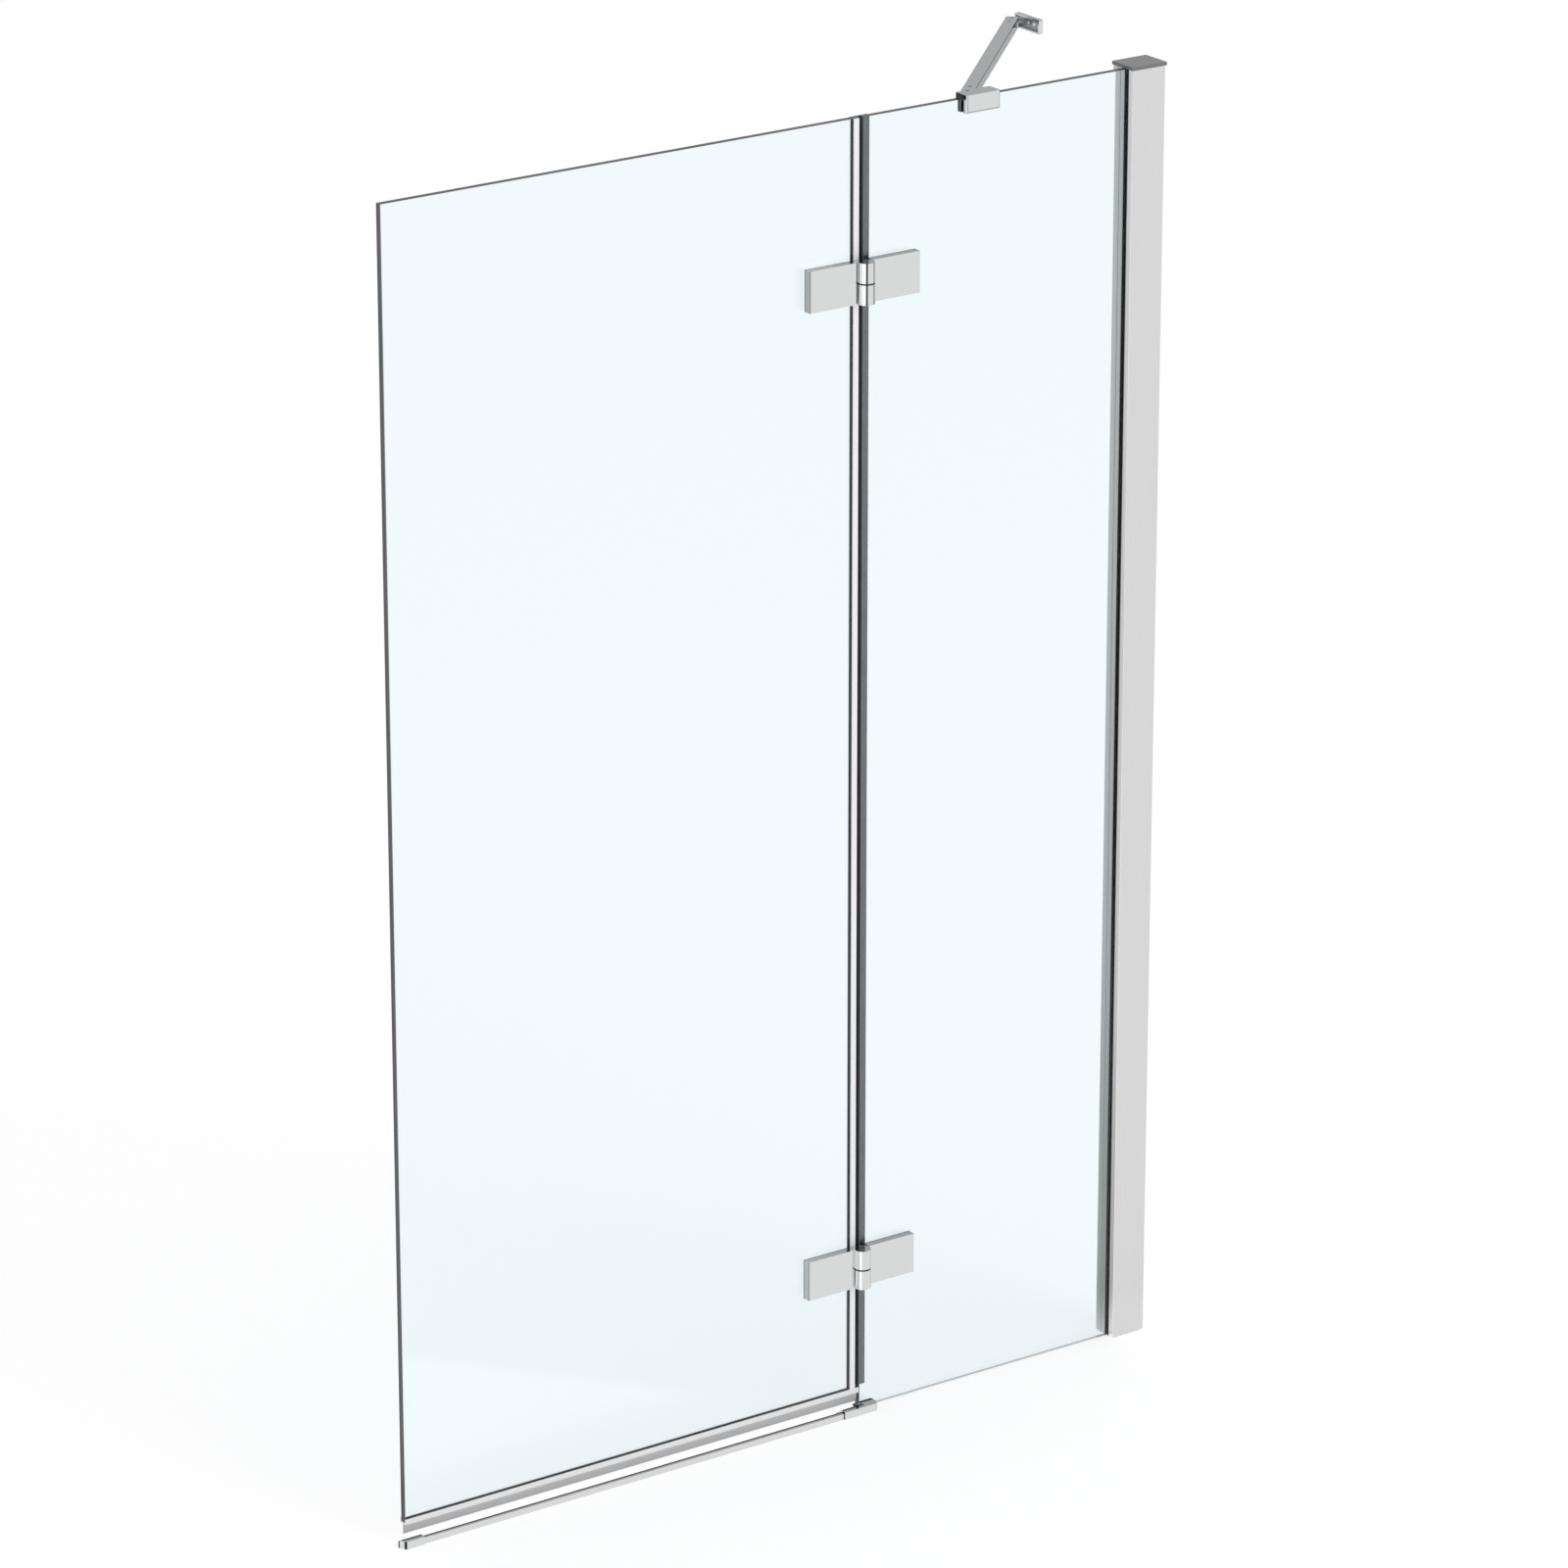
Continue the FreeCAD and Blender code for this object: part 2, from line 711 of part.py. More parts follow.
def hinge_leaf(label, level, side):
    """A leaf with one knuckle, drawn for the moving side about the hinge's centre."""
    place, half_turn = turned_place(level, side)
    body = new_body(label, place, half_turn)
    half = size("leaf_height") / 2
    near = size("leaf_fold_gap") / 2
    far = near + size("leaf_thickness")
    split = size("knuckle_gap") / 2
    corners = box(-size("leaf_reach"), -size("leaf_root"), near, far)
    plate = add_slab(body, "XY_Plane", corners, -half, half)
    bevel(
        body,
        plate,
        lambda edge: lies_at(edge, "y", near) and lies_at(edge, "x", -size("leaf_reach")),
        size("leaf_bevel"),
    )
    barrel = size("barrel_radius")
    add_slab(body, "XY_Plane", box(-size("leaf_root"), ZERO, near, barrel), split, half)
    add_rod(body, "XY_Plane", [(ZERO, ZERO)], barrel, split, half)
    cam_pocket = size("cam_radius") + size("cam_seat_gap")
    cut_rod(body, "XY_Plane", [(ZERO, ZERO)], cam_pocket, split, size("cam_depth"))
    bore = size("pin_radius") + size("pin_running_gap")
    bore_end = size("pin_half_length") + size("pin_end_gap")
    if side < 0:
        sketch = new_sketch(body, "XY_Plane", bore_end)
        draw_flatted_circle(sketch, bore, bore - size("pin_flat"))
        pocket(body, sketch, bore_end - split)
    else:
        cut_rod(body, "XY_Plane", [(ZERO, ZERO)], bore, split, bore_end)
    screw_bore = size("leaf_screw_radius") + size("leaf_screw_gap")
    depth = size("leaf_screw_grip") + size("leaf_screw_end_gap")
    cut_rod(body, "XZ_Plane", [(-leaf_middle, ZERO)], screw_bore, far - depth, far)


def hinge_pin(label, level):
    """A pin that turns in the lower knuckle and is keyed by a flat in the upper one."""
    body = new_body(label, (axis_x, axis_y, hinge_levels[level]))
    length = size("pin_half_length")
    radius = size("pin_radius")
    add_rod(body, "XY_Plane", [(ZERO, ZERO)], radius, -length, ZERO)
    sketch = new_sketch(body, "XY_Plane", ZERO)
    draw_flatted_circle(sketch, radius, radius - size("pin_flat"))
    pad(body, sketch, length)


def hinge_cam(label, level, side):
    """A ring whose end face slopes, so that turning it on its twin lifts the moving pane."""
    place, half_turn = turned_place(level, side)
    body = new_body(label, place, half_turn)
    radius = size("cam_radius")
    swing = size("swing_angle") * math.pi / 180
    climb = size("cam_rise") / swing
    slope = climb / radius
    gap = size("cam_face_gap") / 2
    depth = size("cam_depth")
    add_rod(body, "XY_Plane", [(ZERO, ZERO)], radius, -climb, depth)
    cut_rod(body, "XY_Plane", [(ZERO, ZERO)], size("pin_radius") + size("cam_bore_gap"), -climb, depth)
    wide = 2 * radius
    rise = slope * wide
    corners = [(-wide, gap - rise), (-wide, -rise - climb), (wide, -rise - climb), (wide, gap + rise)]
    cut_slab(body, "XZ_Plane", corners, -wide, wide)


def hinge_gaskets(label, side):
    """Thin pads between the leaves of one side and the glass."""
    body = new_body(label, (axis_x, ZERO, hinge_levels["lower"]))
    half = size("leaf_height") / 2
    near = side * size("leaf_root")
    far = side * size("leaf_reach")
    low, high = (far, near) if side < 0 else (near, far)
    pad_slab = add_slab(body, "XZ_Plane", box(low, high, -half, half), -leaf_face, -half_glass)
    radius = size("leaf_screw_radius") + size("leaf_screw_gap")
    hole = cut_rod(body, "XZ_Plane", [(side * leaf_middle, ZERO)], radius, -leaf_face, -half_glass)
    repeat(body, [pad_slab, hole], "Z_Axis", hinge_distance)


def hinge_bushes(label, side):
    """Cone bushes that centre the leaf screws in the glass."""
    body = new_body(label, (axis_x + side * leaf_middle, ZERO, hinge_levels["lower"]))
    gap = size("leaf_screw_gap")
    outer = size("glass_hole_radius") - size("bush_gap")
    corners = [
        (size("leaf_screw_radius") + gap, head_low),
        (outer, head_low),
        (outer + size("glass_hole_sink"), half_glass),
        (size("leaf_screw_head_radius") + gap, half_glass),
    ]
    repeat(body, [turned(body, "XY_Plane", corners)], "Z_Axis", hinge_distance)


def hinge_screws(label, side):
    """Countersunk screws from the back of the glass into the leaves."""
    body = new_body(label, (axis_x + side * leaf_middle, ZERO, hinge_levels["lower"]))
    radius = size("leaf_screw_radius")
    end = -(leaf_face + size("leaf_screw_grip"))
    corners = [
        (0, end),
        (radius, end),
        (radius, head_low),
        (size("leaf_screw_head_radius"), half_glass),
        (0, half_glass),
    ]
    shaft = turned(body, "XY_Plane", corners)
    hollow = cut_socket(body, size("leaf_screw_socket"), half_glass, size("leaf_screw_socket_depth"))
    repeat(body, [shaft, hollow], "Z_Axis", hinge_distance)


# seals


def vertical_seal():
    """A channel over the edge of the moving pane, with a lip behind the fixed pane."""
    body = new_body("vertical_seal")
    wall = size("seal_wall")
    outer = half_glass + wall
    web = moving_edge + wall
    legs = moving_edge - size("seal_leg")
    lip_face = half_glass + size("seal_lip_gap")
    lip_end = fixed_edge + size("seal_lip_overlap")
    outline = [
        (web, -outer),
        (web, lip_face),
        (lip_end, lip_face),
        (lip_end, lip_face + wall),
        (web, lip_face + wall),
        (moving_edge, outer),
        (legs, outer),
        (legs, half_glass),
        (moving_edge, half_glass),
        (moving_edge, -half_glass),
        (legs, -half_glass),
        (legs, -outer),
    ]
    bottom = size("moving_pane_lift") + size("bottom_seal_leg")
    add_slab(body, "XY_Plane", outline, bottom, top)


bar_top = size("bar_height")
threshold_top = bar_top + size("threshold_cap_top")


def bottom_seal():
    """A channel under the moving pane with a lip that hangs over the threshold."""
    body = new_body("bottom_seal")
    outer = half_glass + size("seal_wall")
    glass_bottom = size("moving_pane_lift")
    under = glass_bottom - size("bottom_seal_web")
    leg_top = glass_bottom + size("bottom_seal_leg")
    lip_front = -size("seal_wall")
    lip_back = lip_front + size("bottom_lip_width")
    lean = size("bottom_lip_lean")
    lip_bottom = threshold_top + size("bottom_lip_gap")
    outline = [
        (-outer, under),
        (lip_front, under),
        (lip_front + lean, lip_bottom),
        (lip_back + lean / 2, lip_bottom),
        (lip_back, under),
        (outer, under),
        (outer, leg_top),
        (half_glass, leg_top),
        (half_glass, glass_bottom),
        (-half_glass, glass_bottom),
        (-half_glass, leg_top),
        (-outer, leg_top),
    ]
    add_slab(body, "YZ_Plane", outline, free_edge, seal_end)


# threshold strip

bar_front = -size("bar_front")
bar_step = bar_front + size("bar_top_width")
bar_toe = -size("bar_toe")
bar_toe_top = size("bar_toe_height")
bar_end = axis_x - size("bar_end_gap")
cap_front = bar_front - size("threshold_cap_wall")
cap_toe = -size("threshold_cap_toe")
cap_step = bar_step + size("threshold_cap_wall") / 2
cap_toe_top = bar_toe_top + size("threshold_cap_top") / 2


def threshold_bar():
    """A thin-walled strip that slopes down to its back."""
    body = new_body("threshold_bar")
    wall = size("bar_wall")
    rounding = size("bar_round")
    outline = [
        (bar_front, 0),
        (bar_front, bar_top, rounding),
        (bar_step, bar_top),
        (bar_toe, bar_toe_top),
        (bar_toe, 0),
        (bar_toe - wall, 0),
        (bar_step - wall / 2, bar_top - wall),
        (bar_front + wall, bar_top - wall),
        (bar_front + wall, 0),
    ]
    add_slab(body, "YZ_Plane", outline, free_edge, bar_end)


def cut_slope(body, low, high):
    """Take the wedge over the slope off a threshold piece."""
    over = threshold_top + size("threshold_cap_top")
    corners = [
        (cap_step, threshold_top),
        (cap_toe, cap_toe_top),
        (-cap_toe, cap_toe_top),
        (-cap_toe, over),
        (cap_step, over),
    ]
    cut_slab(body, "YZ_Plane", corners, low, high)


def cut_sleeve(body, low, high):
    """Open the sleeve that the end of the bar goes into."""
    gap = size("threshold_sleeve_gap")
    corners = [
        (bar_front - gap, 0),
        (bar_front - gap, bar_top + gap),
        (bar_step + gap / 2, bar_top + gap),
        (bar_toe + gap, bar_toe_top + gap),
        (bar_toe + gap, 0),
    ]
    cut_slab(body, "YZ_Plane", corners, low, high)


def threshold_end_cap():
    """The cap on the free end of the bar, rounded in plan."""
    body = new_body("threshold_end_cap")
    left = free_edge - size("end_cap_overhang")
    bulge = left - size("end_cap_bulge")
    right = free_edge + size("end_cap_sleeve")
    middle = (cap_front + cap_toe) / 2
    corners = [
        (right, cap_front),
        (left, cap_front, size("end_cap_bulge") / 2),
        (bulge, middle, size("end_cap_bulge")),
        (left, cap_toe, size("end_cap_bulge") / 2),
        (right, cap_toe),
    ]
    add_slab(body, "XY_Plane", corners, ZERO, threshold_top)
    cut_slope(body, bulge, right)
    cut_sleeve(body, free_edge, right)


def threshold_connector():
    """The piece that joins the bar to the foot of the fixed pane."""
    body = new_body("threshold_connector")
    left = bar_end - size("connector_sleeve")
    right = fixed_edge + size("connector_tail")
    corner = size("connector_corner")
    glass_side = -half_glass - size("threshold_liner")
    corners = [
        (left, cap_front),
        (right - corner, cap_front),
        (right, cap_front + corner),
        (right, glass_side),
        (seal_end, glass_side),
        (seal_end, cap_toe),
        (left, cap_toe),
    ]
    add_slab(body, "XY_Plane", corners, ZERO, threshold_top)
    cut_slope(body, left, seal_end)
    foot_back = size("connector_foot_back")
    foot = box(seal_end, right, glass_side, foot_back)
    add_slab(body, "XY_Plane", foot, ZERO, size("fixed_pane_lift"))
    rear_lip = box(seal_end, right, foot_back - size("connector_lip"), foot_back)
    add_slab(body, "XY_Plane", rear_lip, ZERO, size("connector_lip_height"))
    cut_sleeve(body, left, bar_end + size("threshold_sleeve_gap"))


def threshold_liner():
    """A strip between the connector and the front of the fixed pane."""
    body = new_body("threshold_liner")
    right = fixed_edge + size("connector_tail") - size("threshold_liner_end_gap")
    corners = box(fixed_edge, right, -half_glass - size("threshold_liner"), -half_glass)
    add_slab(body, "XY_Plane", corners, size("fixed_pane_lift"), threshold_top)


# brace

brace_angle = size("brace_angle")
brace_top = top + size("brace_rise")
arm_bottom = brace_top - size("arm_height")
arm_middle = brace_top - size("arm_height") / 2
clamp_back = size("clamp_back")
clamp_right = size("clamp_run") - size("brace_root_reach")
clamp_left = clamp_right - size("clamp_length")
clamp_bottom = brace_top - size("clamp_height")
clamp_slot = half_glass + size("clamp_liner")
root = (-size("brace_root_reach"), clamp_back, ZERO)
pivot_run = size("brace_root_reach") - size("brace_pivot_reach")
pivot_distance = pivot_run / cosine(brace_angle)
pivot_x = -size("brace_pivot_reach")
pivot_y = clamp_back + pivot_run * tangent(brace_angle)
arm_length = pivot_distance + size("arm_end_overhang")
first_pin = -size("clamp_pin_depth") / sine(brace_angle)
second_pin = first_pin + size("brace_pin_spacing")
last_pin = pivot_distance - size("brace_pin_spacing")
tongue_end = second_pin + size("tongue_width") / 2 + size("tongue_tail")
lug_middle = top - size("lug_rise")
lug_low = lug_middle - size("lug_thickness") / 2
lug_high = lug_middle + size("lug_thickness") / 2
pin_bore = size("brace_pin_radius") + size("brace_pin_gap")
pin_head_bore = size("brace_pin_head_radius") + size("brace_pin_gap")
about_root = ((0, 0, 1), brace_angle)


def tongue_outline(grow):
    """A flat tongue along the arm, round at the clamp's end."""
    half = size("tongue_width") / 2 + grow
    rounding = half * size("tongue_round_share")
    return [
        (first_pin - half, -half, rounding),
        (tongue_end + grow, -half),
        (tongue_end + grow, half),
        (first_pin - half, half, rounding),
    ]


def tongue_levels(grow):
    half = size("tongue_thickness") / 2 + grow
    return arm_middle - half, arm_middle + half


def along_brace(distance):
    """The place in plan of a point on the arm's middle line."""
    return root[0] + distance * cosine(brace_angle), root[1] + distance * sine(brace_angle)


def cut_pin_bore(body, place, radius):
    """A bore down to the underside of the arm, with a seat for the pin's head."""
    cut_rod(body, "XY_Plane", [place], radius, arm_bottom, brace_top)
    cut_rod(body, "XY_Plane", [place], pin_head_bore, brace_top - size("brace_pin_head"), brace_top)


def brace_clamp():
    """A block let down over the top edge of the fixed pane."""
    body = new_body("brace_clamp")
    clamp_front = -size("clamp_front")
    rounding = size("clamp_round")
    rear_rounding = size("clamp_rear_round")
    corners = [
        (clamp_left, clamp_front, rounding),
        (clamp_right, clamp_front, rounding),
        (clamp_right, clamp_back, rear_rounding),
        (clamp_left, clamp_back, rear_rounding),
    ]
    add_slab(body, "XY_Plane", corners, clamp_bottom, brace_top)
    slope = size("clamp_bevel")
    wedge = [
        (clamp_front, clamp_bottom),
        (clamp_front + slope, clamp_bottom),
        (clamp_front, clamp_bottom + slope),
    ]
    cut_slab(body, "YZ_Plane", wedge, clamp_left, clamp_right)
    slot = box(-clamp_slot, clamp_slot, clamp_bottom, top + size("clamp_liner"))
    cut_slab(body, "YZ_Plane", slot, clamp_left, clamp_right)
    cut_tongue_seat(body)
    cut_pin_bore(body, along_brace(first_pin), pin_bore)
    hole = size("clamp_screw_radius") + size("clamp_screw_gap")
    cut_rod(body, "XZ_Plane", [clamp_screw_place()], hole, clamp_slot, clamp_back)


def cut_tongue_seat(body):
    """The slanting seat for the tongue in the back of the clamp."""
    gap = size("tongue_gap")
    half = size("tongue_width") / 2 + gap
    low, high = tongue_levels(gap)
    near_left = along_tongue(first_pin, half)
    near_right = along_tongue(first_pin, -half)
    far_left = along_tongue(second_pin, half)
    far_right = along_tongue(second_pin, -half)
    cut_slab(body, "XY_Plane", [near_right, far_right, far_left, near_left], low, high)
    cut_rod(body, "XY_Plane", [along_brace(first_pin)], half, low, high)


def along_tongue(distance, aside):
    """The place in plan of a point beside the arm's middle line."""
    x, y = along_brace(distance)
    return x - aside * sine(brace_angle), y + aside * cosine(brace_angle)


def clamp_screw_place():
    return (clamp_left + clamp_right) / 2, top - size("clamp_screw_drop")


def clamp_liner():
    """A soft liner between the clamp and the glass."""
    body = new_body("clamp_liner")
    corners = [
        (-clamp_slot, clamp_bottom),
        (-half_glass, clamp_bottom),
        (-half_glass, top),
        (half_glass, top),
        (half_glass, clamp_bottom),
        (clamp_slot, clamp_bottom),
        (clamp_slot, top + size("clamp_liner")),
        (-clamp_slot, top + size("clamp_liner")),
    ]
    add_slab(body, "YZ_Plane", corners, clamp_left, clamp_right)


def clamp_screw():
    """A grub screw that presses the liner onto the glass."""
    x, z = clamp_screw_place()
    body = new_body("clamp_screw", (x, ZERO, z))
    end = clamp_back - size("clamp_screw_recess")
    add_rod(body, "XZ_Plane", [(ZERO, ZERO)], size("clamp_screw_radius"), clamp_slot, end)
    cut_socket(body, size("clamp_screw_socket"), end, size("clamp_screw_socket_depth"))


def brace_tongue():
    """The flat tongue that ties the arm to the clamp."""
    body = new_body("brace_tongue", root, about_root)
    low, high = tongue_levels(ZERO)
    add_slab(body, "XY_Plane", tongue_outline(ZERO), low, high)
    pins = [(first_pin, ZERO), (second_pin, ZERO)]
    cut_rod(body, "XY_Plane", pins, pin_bore, low, high)


def brace_arm():
    """A flat bar, mitred against the clamp and forked at the wall's end."""
    body = new_body("brace_arm", root, about_root)
    half = size("arm_width") / 2
    mitre = half / tangent(brace_angle)
    corners = [(mitre, -half), (arm_length, -half), (arm_length, half), (-mitre, half)]
    bar = add_slab(body, "XY_Plane", corners, arm_bottom, brace_top)
    bevel(
        body,
        bar,
        lambda edge: along(edge, "x") and lies_at(edge, "z", arm_bottom),
        size("arm_bevel"),
    )
    groove = size("arm_groove")
    groove_top = brace_top - size("arm_groove_drop")
    for low, high in ((-half, -half + groove), (half - groove, half)):
        strip = box(-mitre - groove, arm_length, low, high)
        cut_slab(body, "XY_Plane", strip, groove_top - groove, groove_top)
    gap = size("tongue_gap")
    low, high = tongue_levels(gap)
    tongue_half = size("tongue_width") / 2 + gap
    seat = box(first_pin - half, tongue_end + gap, -tongue_half, tongue_half)
    cut_slab(body, "XY_Plane", seat, low, high)
    fork_root = pivot_distance - size("lug_radius") - 2 * size("fork_gap")
    fork = box(fork_root, arm_length, -half, half)
    cut_slab(body, "XY_Plane", fork, lug_low - size("fork_gap"), lug_high + size("fork_gap"))
    cut_pin_bore(body, (second_pin, ZERO), pin_bore)
    cut_pin_bore(body, (last_pin, ZERO), pin_bore)
    cut_pin_bore(body, (pivot_distance, ZERO), size("bracket_pin_radius"))


def headed_pin(body, place, radius):
    """A pin from the underside of the arm to its top, with a flat head let in."""
    head = size("brace_pin_head_radius")
    add_rod(body, "XY_Plane", [place], radius, arm_bottom, brace_top)
    add_rod(body, "XY_Plane", [place], head, brace_top - size("brace_pin_head"), brace_top)


def brace_pins():
    """The pins that hold the tongue in the clamp and in the arm, and one before the fork."""
    body = new_body("brace_pins", root, about_root)
    for distance in (first_pin, second_pin, last_pin):
        headed_pin(body, (distance, ZERO), size("brace_pin_radius"))


def bracket_pivot_pin():
    body = new_body("bracket_pivot_pin", (pivot_x, pivot_y, ZERO))
    headed_pin(body, (ZERO, ZERO), size("bracket_pin_radius"))


def bracket_plate():
    """The wall plate, a shallow channel with the lug that the arm's fork holds."""
    body = new_body("bracket_plate")
    face = -size("bracket_thickness")
    plate_top = top + size("bracket_rise")
    plate_bottom = plate_top - size("bracket_height")
    near = pivot_y - size("bracket_near")
    far = pivot_y + size("bracket_far")
    rim = size("bracket_rim")
    corners = rounded(box(near, far, plate_bottom, plate_top), size("bracket_round"))
    add_slab(body, "YZ_Plane", corners, face, ZERO)
    recess = box(near + rim, far - rim, plate_bottom + rim, plate_top - rim)
    cut_slab(body, "YZ_Plane", recess, face, -size("bracket_web"))
    lug = size("lug_radius")
    neck = box(pivot_x, -size("bracket_web"), pivot_y - lug, pivot_y + lug)
    add_slab(body, "XY_Plane", neck, lug_low, lug_high)
    add_rod(body, "XY_Plane", [(pivot_x, pivot_y)], lug, lug_low, lug_high)
    bore = size("bracket_pin_radius") + size("pin_running_gap")
    cut_rod(body, "XY_Plane", [(pivot_x, pivot_y)], bore, lug_low, lug_high)
    spacing = size("bracket_hole_spacing") / 2
    level = (plate_top + plate_bottom) / 2
    holes = [(pivot_y - spacing, level), (pivot_y + spacing, level)]
    cut_rod(body, "YZ_Plane", holes, size("bracket_hole_radius"), face, ZERO)


# the whole screen


def build():
    wall_channel()
    glass_profile()
    profile_fixing_screws()
    wall_profile_cap()
    slot_gasket("front_glass_gasket", -slot_half, -half_glass)
    slot_gasket("rear_glass_gasket", half_glass, slot_half)
    glass_support_block()
    fixed_glass()
    moving_glass()
    for level in hinge_levels:
        hinge_leaf(f"{level}_fixed_leaf", level, 1)
        hinge_leaf(f"{level}_moving_leaf", level, -1)
        hinge_cam(f"{level}_fixed_cam", level, 1)
        hinge_cam(f"{level}_moving_cam", level, -1)
        hinge_pin(f"{level}_hinge_pin", level)
    for name, side in (("fixed", 1), ("moving", -1)):
        hinge_gaskets(f"{name}_hinge_gaskets", side)
        hinge_bushes(f"{name}_hinge_bushes", side)
        hinge_screws(f"{name}_hinge_screws", side)
    vertical_seal()
    bottom_seal()
    threshold_bar()
    threshold_end_cap()
    threshold_connector()
    threshold_liner()
    brace_clamp()
    clamp_liner()
    clamp_screw()
    brace_tongue()
    brace_arm()
    brace_pins()
    bracket_plate()
    bracket_pivot_pin()
    doc.recompute()


def check_and_write():
    """Stop at a failed object or a bad shape, then write each body under its own name."""
    for thing in doc.Objects:
        if "Invalid" in thing.State or "Error" in thing.State:
            raise RuntimeError(f"{thing.Label} failed: {thing.State}")
    bodies = [thing for thing in doc.Objects if thing.TypeId == "PartDesign::Body"]
    for body in bodies:
        if body.Shape.isNull() or not body.Shape.isValid():
            raise RuntimeError(f"{body.Label} has no valid shape")
    os.makedirs("parts", exist_ok=True)
    for body in bodies:
        body.Shape.exportStep(f"parts/{body.Label}.step")
        limits = body.Shape.BoundBox
        print(f"{body.Label}: {len(body.Shape.Solids)} solids, volume {body.Shape.Volume:.1f}, {limits}")


build()
check_and_write()
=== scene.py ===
"""The looks of a two-panel glass bath screen, laid out as an add-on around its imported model."""

import math

import bpy
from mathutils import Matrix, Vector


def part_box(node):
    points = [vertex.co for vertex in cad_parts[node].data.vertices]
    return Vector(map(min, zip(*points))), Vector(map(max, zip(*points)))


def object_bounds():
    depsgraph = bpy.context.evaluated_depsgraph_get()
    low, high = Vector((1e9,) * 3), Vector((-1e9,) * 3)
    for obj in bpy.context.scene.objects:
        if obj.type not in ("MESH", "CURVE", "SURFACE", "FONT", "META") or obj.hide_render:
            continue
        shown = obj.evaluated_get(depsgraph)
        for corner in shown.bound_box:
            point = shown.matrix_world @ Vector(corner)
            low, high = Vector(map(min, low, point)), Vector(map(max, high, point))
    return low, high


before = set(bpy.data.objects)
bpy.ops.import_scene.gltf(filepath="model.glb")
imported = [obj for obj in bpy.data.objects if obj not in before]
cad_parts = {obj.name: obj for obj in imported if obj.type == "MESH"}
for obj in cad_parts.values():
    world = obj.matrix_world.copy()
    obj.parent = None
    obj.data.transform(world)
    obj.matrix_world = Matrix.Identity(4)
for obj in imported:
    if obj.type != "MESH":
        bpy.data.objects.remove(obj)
cad_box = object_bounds()

bl_info = {
    "name": "Bath screen",
    "version": (1, 0, 0),
    "blender": (4, 5, 0),
    "location": "View3D > Sidebar > Bath screen",
    "description": "Gives a two-panel glass bath screen its glass, metals, seals and studio",
    "category": "Object",
}


# colours and nodes

# several inputs and outputs of a Mix node share a name, so they go by number
FACTOR = 0
NUMBER_A, NUMBER_B, NUMBER_RESULT = 2, 3, 0
COLOUR_A, COLOUR_B, COLOUR_RESULT = 6, 7, 2
# the span in which nearly all values of a noise texture lie
NOISE_SPAN = {"From Min": 0.3, "From Max": 0.7}


def linear(hex_colour):
    """An sRGB hex value as linear red, green and blue."""
    channels = [int(hex_colour[i : i + 2], 16) / 255 for i in (1, 3, 5)]
    return [c / 12.92 if c <= 0.04045 else ((c + 0.055) / 1.055) ** 2.4 for c in channels]


def opaque(colour):
    """A colour with an alpha of 1."""
    return (*colour[:3], 1.0)


def darkened(colour, shade):
    """A colour made darker by a share."""
    return [channel * (1.0 - shade) for channel in colour[:3]]


def add_node(tree, kind, inputs=(), output=0, **options):
    """Add a node with its options and inputs, and return one of its outputs.

    Inputs are a dictionary by name or number, or come in order. Each is a value, or the output of
    another node that is linked to it.
    """
    node = tree.nodes.new("ShaderNode" + kind)
    for name, option in options.items():
        setattr(node, name, option)
    for socket, value in inputs.items() if isinstance(inputs, dict) else enumerate(inputs):
        if isinstance(value, bpy.types.NodeSocket):
            tree.links.new(value, node.inputs[socket])
        else:
            node.inputs[socket].default_value = value
    return node.outputs[output] if node.outputs else None


def new_material(name):
    """An empty material and its tree."""
    material = bpy.data.materials.new(name)
    material.use_nodes = True
    material.node_tree.nodes.clear()
    return material, material.node_tree


def finish_material(tree, settings):
    """Join a Principled shader with these settings to the output."""
    shader = add_node(tree, "BsdfPrincipled", settings)
    add_node(tree, "OutputMaterial", {"Surface": shader}, is_active_output=True)


def grain(tree, spacing, detail, stretch=(1.0, 1.0, 1.0)):
    """Noise on the piece itself, spacing millimetres apart and stretched along the piece's axes."""
    place = add_node(tree, "TexCoord", output="Object")
    stretched = add_node(tree, "Mapping", {"Vector": place, "Scale": stretch})
    scale = 1000.0 / spacing
    return add_node(tree, "TexNoise", {"Vector": stretched, "Scale": scale, "Detail": detail})


def varied(tree, pattern, low, high):
    """A colour that goes with a grain from one to another."""
    share = add_node(tree, "MapRange", {"Value": pattern, **NOISE_SPAN})
    colours = {FACTOR: share, COLOUR_A: opaque(low), COLOUR_B: opaque(high)}
    return add_node(tree, "Mix", colours, COLOUR_RESULT, data_type="RGBA")


def laid_over(tree, tint, haze, mask, tone, dullness):
    """Colour and roughness with others over them where the mask is 1.

    Where dullness is None, the roughness stays as it is.
    """
    colours = {FACTOR: mask, COLOUR_A: tint, COLOUR_B: opaque(tone)}
    tint = add_node(tree, "Mix", colours, COLOUR_RESULT, data_type="RGBA")
    if dullness is not None:
        numbers = {FACTOR: mask, NUMBER_A: haze, NUMBER_B: dullness}
        haze = add_node(tree, "Mix", numbers, NUMBER_RESULT, data_type="FLOAT")
    return tint, haze


# masks: 1 in some places of a piece and 0 in all others

# how squarely a surface faces an axis of its piece, as the cosine of the angle between them
EXACTLY = 0.98
SQUARELY = 0.9
SLANTING = 0.6
SLIGHTLY = 0.3
BARELY = 0.25


def all_of(tree, mask, *others):
    """1 where all the masks are 1."""
    for other in others:
        mask = add_node(tree, "Math", (mask, other), operation="MULTIPLY")
    return mask


def any_of(tree, mask, *others):
    """1 where at least one of the masks is 1."""
    for other in others:
        mask = add_node(tree, "Math", (mask, other), operation="MAXIMUM")
    return mask


